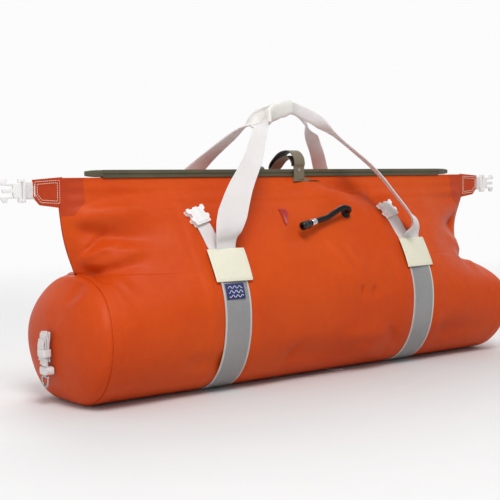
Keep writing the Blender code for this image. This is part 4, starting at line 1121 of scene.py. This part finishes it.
# %% Front buckle webs
LEAN = math.radians(14.0)
BUCKLE_ASIDE = 0.007     # the webs lie this much nearer the strap than the frame's, along their hinge line
for side, word in ((-1, "left"), (1, "right")):
    count = 40
    share = np.linspace(-0.45, 1.06, count)
    x = side * BAND_X - 0.022 + BUCKLE_ASIDE - share * 0.034 * math.sin(LEAN)
    z = PATCH_HIGH + 0.003 + share * 0.034 * math.cos(LEAN)
    lift = 0.0013 + 0.0027 * smooth_step(share, 0.1, 1.0)
    path, out = face_frame(x, z, -1, lift)
    width = 0.025 * (1.0 - 0.03 * share)
    web = sweep(f"front_{word}_buckle_webbing", path, (math.cos(LEAN), 0, math.sin(LEAN)), width, 0.0022,
                WHITE_WEB, flat_profile(20, 5.0))
    bend_between(web)
    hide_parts(f"front_{word}_buckle_web")

# half outline of the socket, (across, up), metres: bar end, waist with its side openings, flared mouth
SOCKET = [(0.0000, 0.0000), (0.0128, 0.0000), (0.0136, 0.0012), (0.0136, 0.0060), (0.0166, 0.0088),
          (0.0168, 0.0122), (0.0122, 0.0138), (0.0118, 0.0208), (0.0158, 0.0226), (0.0168, 0.0250),
          (0.0168, 0.0296), (0.0122, 0.0300), (0.0108, 0.0272), (0.0046, 0.0272), (0.0034, 0.0290),
          (0.0, 0.0290)]
for side, word in ((-1, "left"), (1, "right")):
    x, z = side * BAND_X - 0.022 - 0.034 * math.sin(LEAN), PATCH_HIGH + 0.003 + 0.034 * math.cos(LEAN)
    corner, out = (part.reshape(3) for part in face_frame(x, z, -1, np.array(0.0016)))
    outward = Vector(out)
    upward = Matrix.Rotation(LEAN, 3, outward) @ Vector((1.0, 0.0, 0.0)).cross(outward).normalized()
    upward = upward if upward.z > 0 else -upward
    across = upward.cross(outward)
    outline = [(a, u + 0.0015) for a, u in SOCKET] + [(-a, u + 0.0015) for a, u in SOCKET[-2:0:-1]]
    shells = [outline_plate("socket_shell", outline, 0.0078, ACETAL, 0.0011)]
    rail = [(0.0050, 0.0045), (0.0095, 0.0045), (0.0095, 0.0080), (-0.0095, 0.0080), (-0.0095, 0.0045)]
    shells.append(outline_plate("socket_bar", rail, 0.0096, ACETAL, 0.0008))
    for shift in (-1, 1):
        rib = [(shift * 0.0060, 0.0120), (shift * 0.0078, 0.0120), (shift * 0.0078, 0.0270),
               (shift * 0.0060, 0.0270)]
        shells.append(outline_plate("socket_rib", rib, 0.0092, ACETAL, 0.0006))
    socket = join(shells, f"front_{word}_socket")
    middle = Vector(corner) + outward * 0.0052 + Vector((BUCKLE_ASIDE, 0.0, 0.0))
    socket.data.transform(Matrix.Translation(middle) @ Matrix((across, -outward,
                                                               upward)).transposed().to_4x4())
    face_outwards(socket)
    settle(socket, f"front_{word}_buckle", [f"front_{word}_buckle_body"])
print("front webs and sockets: 2 of each")

# %% [markdown]
# A pull loop opens the seal. Its flared foot is sewn to the lip's face and riveted in front of the seal,
# then the strap bends over the seal and back on itself. It has an olive outer face; the shade inside the
# bend is painted shade, a near-black inner strap, so it is two thin straps, one inside the other, that
# both bend at the top of the foot.

# %% Pull loops
def loop_path(side):
    """Points of the loop's middle line, with the foot first, and the share where the free part starts."""
    top = BAG_HEIGHT
    y = side * 0.0067
    if side < 0:
        x, hinge = 0.015, top + 0.003
        bow = [(y - 0.002, hinge + 0.007), (y + 0.002, top + 0.022), (0.010, top + 0.0315),
               (0.034, top + 0.028),
               (0.055, top + 0.013), (0.061, top + 0.003), (0.056, top + 0.002), (0.038, top + 0.016),
               (0.014, top + 0.0225), (0.001, top + 0.014), (-0.002, top + 0.005)]
    else:
        x, hinge = -0.062, top + 0.0005
        bow = [(y + 0.004, hinge + 0.003), (y + 0.014, top + 0.0055), (y + 0.032, top + 0.004),
               (y + 0.048, top - 0.010), (y + 0.051, top - 0.024), (y + 0.046, top - 0.026),
               (y + 0.038, top - 0.014), (y + 0.026, top - 0.006), (y + 0.014, top - 0.004)]
    low, _ = face_frame(x, LIP_TOP - 0.008, side, np.array(0.0026))
    points = [low, np.array([x, y * 1.05, LIP_TOP + 0.004]), np.array([x, y, hinge])]
    foot_steps = len(points) - 1
    points += [np.array([x, bow_y, bow_z]) for bow_y, bow_z in bow]
    return through(points, 161), foot_steps / (len(points) - 1)


def loop_foot(side, x, spread_left, spread_right, low):
    """The sewn foot: a sheet on the lip that widens downwards and ripples in two soft folds."""
    n, m = 24, 40
    v, u = np.meshgrid(np.linspace(0.0, 1.0, n), np.linspace(0.0, 1.0, m), indexing="ij")
    wide = v ** 1.7
    left = x - 0.0115 - spread_left * wide
    across = left + (x + 0.0115 + spread_right * wide - left) * u
    z = LIP_TOP - 0.002 + (low - LIP_TOP + 0.002) * v + 0.0022 * wide * np.sin(u * 2.6)
    fold = 0.0016 * wide * (np.sin(u * 9.0 + 0.6) + 0.5)
    top, out = face_frame(across, z, side, 0.0026 + fold)
    under = top - out * 0.0012
    points, faces = closed_sheet(top, under)
    uv = np.tile(np.stack([across, z], axis=-1).reshape(-1, 2), (2, 1))
    return soften(face_outwards(make_piece("loop_foot_sheet", points, faces, LOOP, uv=uv)), 40.0)


for side, word in ((-1, "front"), (1, "back")):
    path, hinge_share = loop_path(side)
    share = np.linspace(0.0, 1.0, len(path))
    inward = np.sign(np.cross([1.0, 0.0, 0.0], path[40] - path[36])[1]) * -side
    # the second, inner strap carries the painted shade inside the bend
    for label, material, lift in (("loop", LOOP, 0.00045), ("loop_lining", LOOP_PAINTED_SHADE, -0.00045)):
        keep = slice(None) if label == "loop" else slice(int(hinge_share * 160) - 4, None)
        width = 0.0235 if label == "loop" else 0.0228
        strap = sweep(f"{word}_pull_{label}", path[keep], (1, 0, 0), np.full(len(path[keep]), width),
                      0.0010, material, flat_profile(16, 8.0), lift=side * lift * inward)
        bend_between(strap)
        if label == "loop":
            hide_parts(word + "_pull_loop")
    if side < 0:
        sheet = loop_foot(side, 0.015, 0.004, 0.034, LIP_TOP - 0.0125)
    else:
        sheet = loop_foot(side, -0.062, 0.010, 0.010, LIP_TOP - 0.0140)
    sheet.name = word + "_loop_sheet"
    settle(sheet, word + "_lip", [word + "_loop_foot"])
print("loop strap length:", round(path_length(path), 3), "m")

# %% [markdown]
# Turned parts come from one move too: a profile of radius and height spun round an axis. The rivets, the
# valve's boot, its chromed ring and its mouthpiece are all made this way, with their profile's corners
# eased.

# %% Turned parts
def lathe(name, profile, start, direction, material, around=40):
    """The profile's (radius, height) points at every angle round the axis; its ends close on the axis."""
    axis = unit(np.asarray(direction, float))
    first = unit(np.cross(axis, [0.0, 0.0, 1.0] if abs(axis[2]) < 0.9 else [1.0, 0.0, 0.0]))
    second = np.cross(axis, first)
    angle = np.linspace(0.0, 2 * math.pi, around, endpoint=False)
    profile = np.asarray(profile, float)
    ring = first * np.cos(angle)[:, None] + second * np.sin(angle)[:, None]
    radius, height = profile[:, 0][:, None, None], profile[:, 1][:, None, None]
    points = np.asarray(start, float) + axis * height + ring * radius
    closed = profile[0, 0] > 1e-6
    if closed:
        faces = grid_faces(len(profile), around, close_u=True, close_v=True).tolist()
        points = points.reshape(-1, 3)
    else:
        k = len(profile) - 2
        faces = grid_faces(k, around, close_v=True).tolist()
        tips = np.asarray(start, float) + axis * profile[[0, -1], 1][:, None]
        points = np.vstack([points[1:-1].reshape(-1, 3), tips])
        faces += [((j + 1) % around, j, k * around) for j in range(around)]
        faces += [((k - 1) * around + j, (k - 1) * around + (j + 1) % around, k * around + 1)
                  for j in range(around)]
    return soften(face_outwards(make_piece(name, points, faces, material)), 50.0)


for side, word in ((-1, "front"), (1, "back")):
    low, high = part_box(word + "_loop_rivet")
    centre = (low + high) / 2
    face_y = (low.y if side > 0 else high.y) - side * 0.0012
    dome = [(0.0, 0.0), (0.0028, 0.0), (0.0028, 0.0005), (0.0024, 0.0010), (0.0015, 0.0013),
            (0.0011, 0.0011),
            (0.0006, 0.0011), (0.0, 0.0011)]
    rivet = lathe(word + "_rivet", dome, (centre.x, face_y, centre.z), (0, side, 0), STEEL, 24)
    settle(rivet, word + "_lip", [word + "_loop_rivet"])

VALVE_X, VALVE_Z = 0.076, 0.268
foot, foot_out = (part.reshape(3) for part in face_frame(VALVE_X, VALVE_Z, -1, np.array(0.0006)))
boot_profile = [(0.0, 0.0), (0.0085, 0.0), (0.0088, 0.0006), (0.0084, 0.0014), (0.0066, 0.0024),
                (0.0058, 0.0040),
                (0.0056, 0.0068), (0.0050, 0.0078), (0.0, 0.0080)]
boot = lathe("valve_boot_moulding", boot_profile, foot, foot_out, RUBBER)
settle(boot, "root", ["valve_boot"])
straight_end = np.array([-0.012, -float(half_depth(0.0, 0.262)) - 0.018, 0.2595])
point_way = unit(np.array([-1.0, -0.16, -0.20]))
elbow = foot + foot_out * 0.016
start = foot + foot_out * 0.0070
route = [start, start + (elbow - start) * 0.55, elbow + [-0.006, -0.001, 0.0005],
         elbow + [-0.022, -0.002, 0.001],
         straight_end - point_way * 0.034, straight_end - point_way * 0.012, straight_end]
path = through(route, 60)
hose = tube("valve_hose", path, np.full(60, 0.0049), RUBBER, 28)
settle(hose, "root", ["valve_tube"])

core = lathe("valve_core", [(0.0, 0.0), (0.0026, 0.0), (0.0026, 0.0205), (0.0, 0.0205)],
             straight_end + point_way * 0.0005, point_way, BLACK, 24)
settle(core, "root", ["valve_nipple"])
ridged = [(0.0030, 0.0), (0.0058, 0.0), (0.0064, 0.0006)]
for low in (0.0022, 0.0052, 0.0082):
    ridged += [(0.0064, low), (0.0055, low + 0.0003), (0.0055, low + 0.0009), (0.0064, low + 0.0012)]
ridged += [(0.0064, 0.0104), (0.0058, 0.0110), (0.0030, 0.0110)]
ring = lathe("valve_ring", ridged, straight_end + point_way * 0.0010, point_way, CHROME)
settle(ring, "valve_lock_ring", ["valve_lock_ring"])
tip_profile = [(0.0030, 0.0), (0.0064, 0.0), (0.0071, 0.0008), (0.0071, 0.0060), (0.0067, 0.0070),
               (0.0067, 0.0090),
               (0.0072, 0.0100), (0.0072, 0.0160), (0.0066, 0.0180), (0.0050, 0.0190), (0.0030, 0.0190)]
tip = lathe("valve_tip", tip_profile, straight_end + point_way * 0.0165, point_way, BLACK)
settle(tip, "valve_mouthpiece", ["valve_mouthpiece"])
print("valve: boot, hose, core, ring and tip")

# %% [markdown]
# Small trim finishes the front: a red fabric keeper that holds the valve's end, and a woven navy label on
# the left band. The label carries a plain wave pattern, made of raised rows of pale thread.

# %% Keeper and label
n, m = 22, 14
v, u = np.meshgrid(np.linspace(0.0, 1.0, n), np.linspace(0.0, 1.0, m), indexing="ij")
left, right_side = -0.0650 - 0.0010 * v, -0.0490 - 0.0155 * v
x = left + (right_side - left) * u
keeper_z = 0.2805 - 0.0255 * v - 0.0015 * (1.0 - v) * u
stand = 0.0016 + 0.0042 * np.sin(v * math.pi) * u ** 1.5
top, out = face_frame(x, keeper_z, -1, stand)
under = top - out * 0.0011
points, faces = closed_sheet(top, under)
keeper = face_outwards(make_piece("keeper_fold", points, faces, RED))
settle(soften(keeper, 40.0), "root", ["valve_keeper_tab"])

NAVY = finish("navy_label", (0.020, 0.024, 0.135), (0.016, 0.018, 0.105), 0.62, size=30.0,
              weave=(0.0010, 0.0010, 0.25), bump=0.0001)
LABEL_THREAD = finish("label_thread", (0.62, 0.66, 0.76), (0.52, 0.56, 0.68), 0.6, size=100.0)
label = patch_pad("label_pad", -0.208, -1, 0.034, 0.148, 0.171, 0.0030, 0.0009, NAVY, corner=0.002)
rows = []
for row, (height, swing) in enumerate(((0.1525, 0.0016), (0.1590, 0.0019), (0.1655, 0.0016))):
    x = np.linspace(-0.221, -0.195, 70)
    z = height + swing * np.sin((x + 0.208) * 2 * math.pi / 0.0087 + row * 1.1)
    path, out = face_frame(x, z, -1, np.full_like(x, 0.0040))
    rows.append(sweep("label_wave", path, (0, 0, 1), 0.0011, 0.0005, LABEL_THREAD, flat_profile(8, 3.0)))
settle(join([label, *rows], "label_pad"), "root", ["band_label"])
print("label rows:", len(rows))

# %% [markdown]
# Each end cap carries a lash point: a folded bundle of white webbing held by a keeper, with a steel ring
# under it. The bundle is a strap folded back and forth, made as four upright layers, each its own sweep,
# with a narrow wrap of webbing round them.

# %% Lash points
def ring_tube(name, path, radius, material, around=14):
    """A round tube along a closed path that lies in a plane of constant x."""
    path = np.asarray(path, float)
    along = unit(np.roll(path, -1, axis=0) - np.roll(path, 1, axis=0))
    wide = np.broadcast_to(np.array([1.0, 0.0, 0.0]), path.shape)
    out = np.cross(along, wide)
    angle = np.linspace(0.0, 2 * math.pi, around, endpoint=False)
    ring = wide[:, None] * np.cos(angle)[:, None] + out[:, None] * np.sin(angle)[:, None]
    points = path[:, None] + radius * ring
    return face_outwards(make_piece(name, points, grid_faces(len(path), around, True, True), material))


for side, word in ((-1, "left"), (1, "right")):
    low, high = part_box(word + "_lash_strap")
    inner, outer = (low.x, high.x) if side > 0 else (high.x, low.x)
    bottom, top = low.z, high.z
    pieces = []
    for layer, (share, lowest, highest) in enumerate(((0.12, 0.006, 0.001), (0.40, 0.0, 0.0),
                                                      (0.68, 0.002, 0.004),
                                                     (0.92, 0.010, 0.012))):
        x = inner + (outer - inner) * share
        z = np.linspace(bottom + lowest, top - highest, 40)
        bow = side * 0.0012 * np.sin(np.linspace(0, math.pi, 40) * (1 + layer % 2) + layer)
        y = 0.0012 * np.sin(np.linspace(0, 5.0, 40) + layer * 1.9)
        path = np.stack([x + bow * 0.5, y, z], axis=-1)
        pieces.append(sweep(word + "_lash_fold", path, (0, 1, 0),
                            0.0185 + 0.0012 * np.sin(np.linspace(0, 9, 40)
                      + layer), 0.0023, WHITE_WEB, flat_profile(16, 4.0)))
    angle = np.linspace(0.0, 2 * math.pi, 60, endpoint=False)
    c, s = np.cos(angle), np.sin(angle)
    middle_x = (inner + outer) / 2
    depth = abs(outer - inner) / 2 + 0.0012
    loop = np.stack([middle_x + depth * np.sign(c) * np.abs(c) ** 0.5,
                     0.0108 * np.sign(s) * np.abs(s) ** 0.5,
                     np.full_like(c, bottom + 0.020)], axis=-1)
    loop = np.vstack([loop, loop[:1]])
    pieces.append(sweep(word + "_lash_wrap", loop, (0, 0, 1), 0.011, 0.0014, WHITE_WEB,
                        flat_profile(12, 5.0)))
    settle(join(pieces, word + "_lash_bundle"), "root", [word + "_lash_strap"])
    low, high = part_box(word + "_lash_keeper")
    x = np.linspace(low.x + 0.001, high.x - 0.001, 24)
    path = np.stack([x, np.zeros(24), np.full(24, (low.z + high.z) / 2)], axis=-1)
    keeper = sweep(word + "_lash_base", path, (0, 1, 0), 0.023, high.z - low.z, WHITE_WEB,
                   flat_profile(24, 4.0))
    settle(keeper, "root", [word + "_lash_keeper"])
    low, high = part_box(word + "_d_ring")
    ring_x, ring_top, wire = (low.x + high.x) / 2, high.z - 0.0016, 0.0016
    half = (high.y - low.y) / 2 - wire
    bend = np.linspace(0.0, math.pi, 40)
    arc = np.stack([np.full(40, ring_x), half * np.cos(bend),
                    ring_top - 0.005 - (ring_top - 0.005 - low.z - wire) * np.sin(bend)], axis=-1)
    corner = np.linspace(0.0, math.pi / 2, 6)[1:-1]
    left_corner = np.stack([np.full(4, ring_x), -half + 0.003 * (1 - np.cos(corner)),
                            ring_top - 0.003 + 0.003 * np.sin(corner)], axis=-1)
    bar = np.stack([np.full(12, ring_x), np.linspace(-half + 0.003, half - 0.003, 12),
                    np.full(12, ring_top)], axis=-1)
    right_corner = left_corner[::-1] * np.array([1.0, -1.0, 1.0])
    ring = ring_tube(word + "_lash_ring", np.vstack([arc, left_corner, bar, right_corner]), wire, STEEL)
    settle(ring, word + "_d_ring", [word + "_d_ring"])
low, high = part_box("bottom_web_tab")
path = np.stack([np.linspace(low.x, high.x, 12), np.full(12, (low.y + high.y) / 2), np.full(12, 0.0008)],
                axis=-1)
tab = sweep("bottom_tab", path, (0, 1, 0), high.y - low.y, 0.0013, WHITE_WEB)
settle(tab, "root", ["bottom_web_tab"])
print("lash points: 2")

# %% [markdown]
# The object stands on a pale studio floor under soft light. One large lamp hangs above the front, another
# fills the left, a weak one lifts the back, and a pale sky, brighter behind the bag, does the rest. The
# floor is a wide disc that fades out into the sky, as a curved studio backdrop does.

# %% Floor, light and background
def lamp(name, place, target, size, power, colour=(1.0, 1.0, 1.0)):
    """A square area lamp aimed at a point."""
    data = bpy.data.lights.new(name, "AREA")
    data.size, data.energy, data.color = size, power, colour
    piece = bpy.data.objects.new(name, data)
    piece.location = place
    piece.rotation_mode = "QUATERNION"
    piece.rotation_quaternion = (Vector(target) - Vector(place)).to_track_quat("-Z", "Y")
    bpy.context.scene.collection.objects.link(piece)


FLOOR_PAINT = finish("studio_floor", (0.70, 0.70, 0.70), (0.68, 0.68, 0.68), 0.8, size=1.5)
angle = np.linspace(0.0, 2 * math.pi, 96, endpoint=False)
radius = np.array([0.4, 1.2, 2.0, 2.8])
paint = FLOOR_PAINT.node_tree
reach_out = add_node(paint, "ShaderNodeVectorMath", {0: paint.nodes["Texture Coordinate"].outputs["Object"]},
                     operation="LENGTH")
fading = add_node(paint, "ShaderNodeMapRange", {0: reach_out.outputs["Value"], 1: 1.1, 2: 2.6, 3: 1.0,
                                                4: 0.0},
                  interpolation_type="SMOOTHSTEP")
paint.links.new(fading.outputs[0], paint.nodes["Principled BSDF"].inputs["Alpha"])
disc = np.stack([radius[:, None] * np.cos(angle), radius[:, None] * np.sin(angle), np.zeros((4, 96))],
                axis=-1)
floor = make_piece("studio_floor", disc, [*grid_faces(4, 96, close_v=True).tolist(), tuple(range(96))],
                   FLOOR_PAINT)
lamp("key", (-0.9, -1.5, 2.5), (0, 0, 0.15), 1.1, 52.0)
lamp("fill", (-2.6, -0.6, 0.9), (0, 0, 0.2), 1.6, 7.0)
lamp("back", (1.2, 2.2, 2.2), (0, 0, 0.3), 1.6, 34.0)
world = bpy.data.worlds.new("pale_sky")
world.use_nodes = True
sky = world.node_tree
sky.nodes["Background"].inputs["Color"].default_value = (1.0, 1.0, 1.0, 1.0)
direction = sky.nodes.new("ShaderNodeTexCoord").outputs["Generated"]
facing = add_node(sky, "ShaderNodeVectorMath", {0: direction, 1: (0.60, 0.80, 0.0)}, operation="DOT_PRODUCT")
brightness = add_node(sky, "ShaderNodeMapRange", {0: facing.outputs["Value"], 1: 0.10, 2: 0.85, 3: 0.52,
                                                  4: 0.97},
                      interpolation_type="SMOOTHSTEP")
sky.links.new(brightness.outputs[0], sky.nodes["Background"].inputs["Strength"])
bpy.context.scene.world = world
bpy.context.scene.view_settings.view_transform = "Standard"
print("lamps: 3")
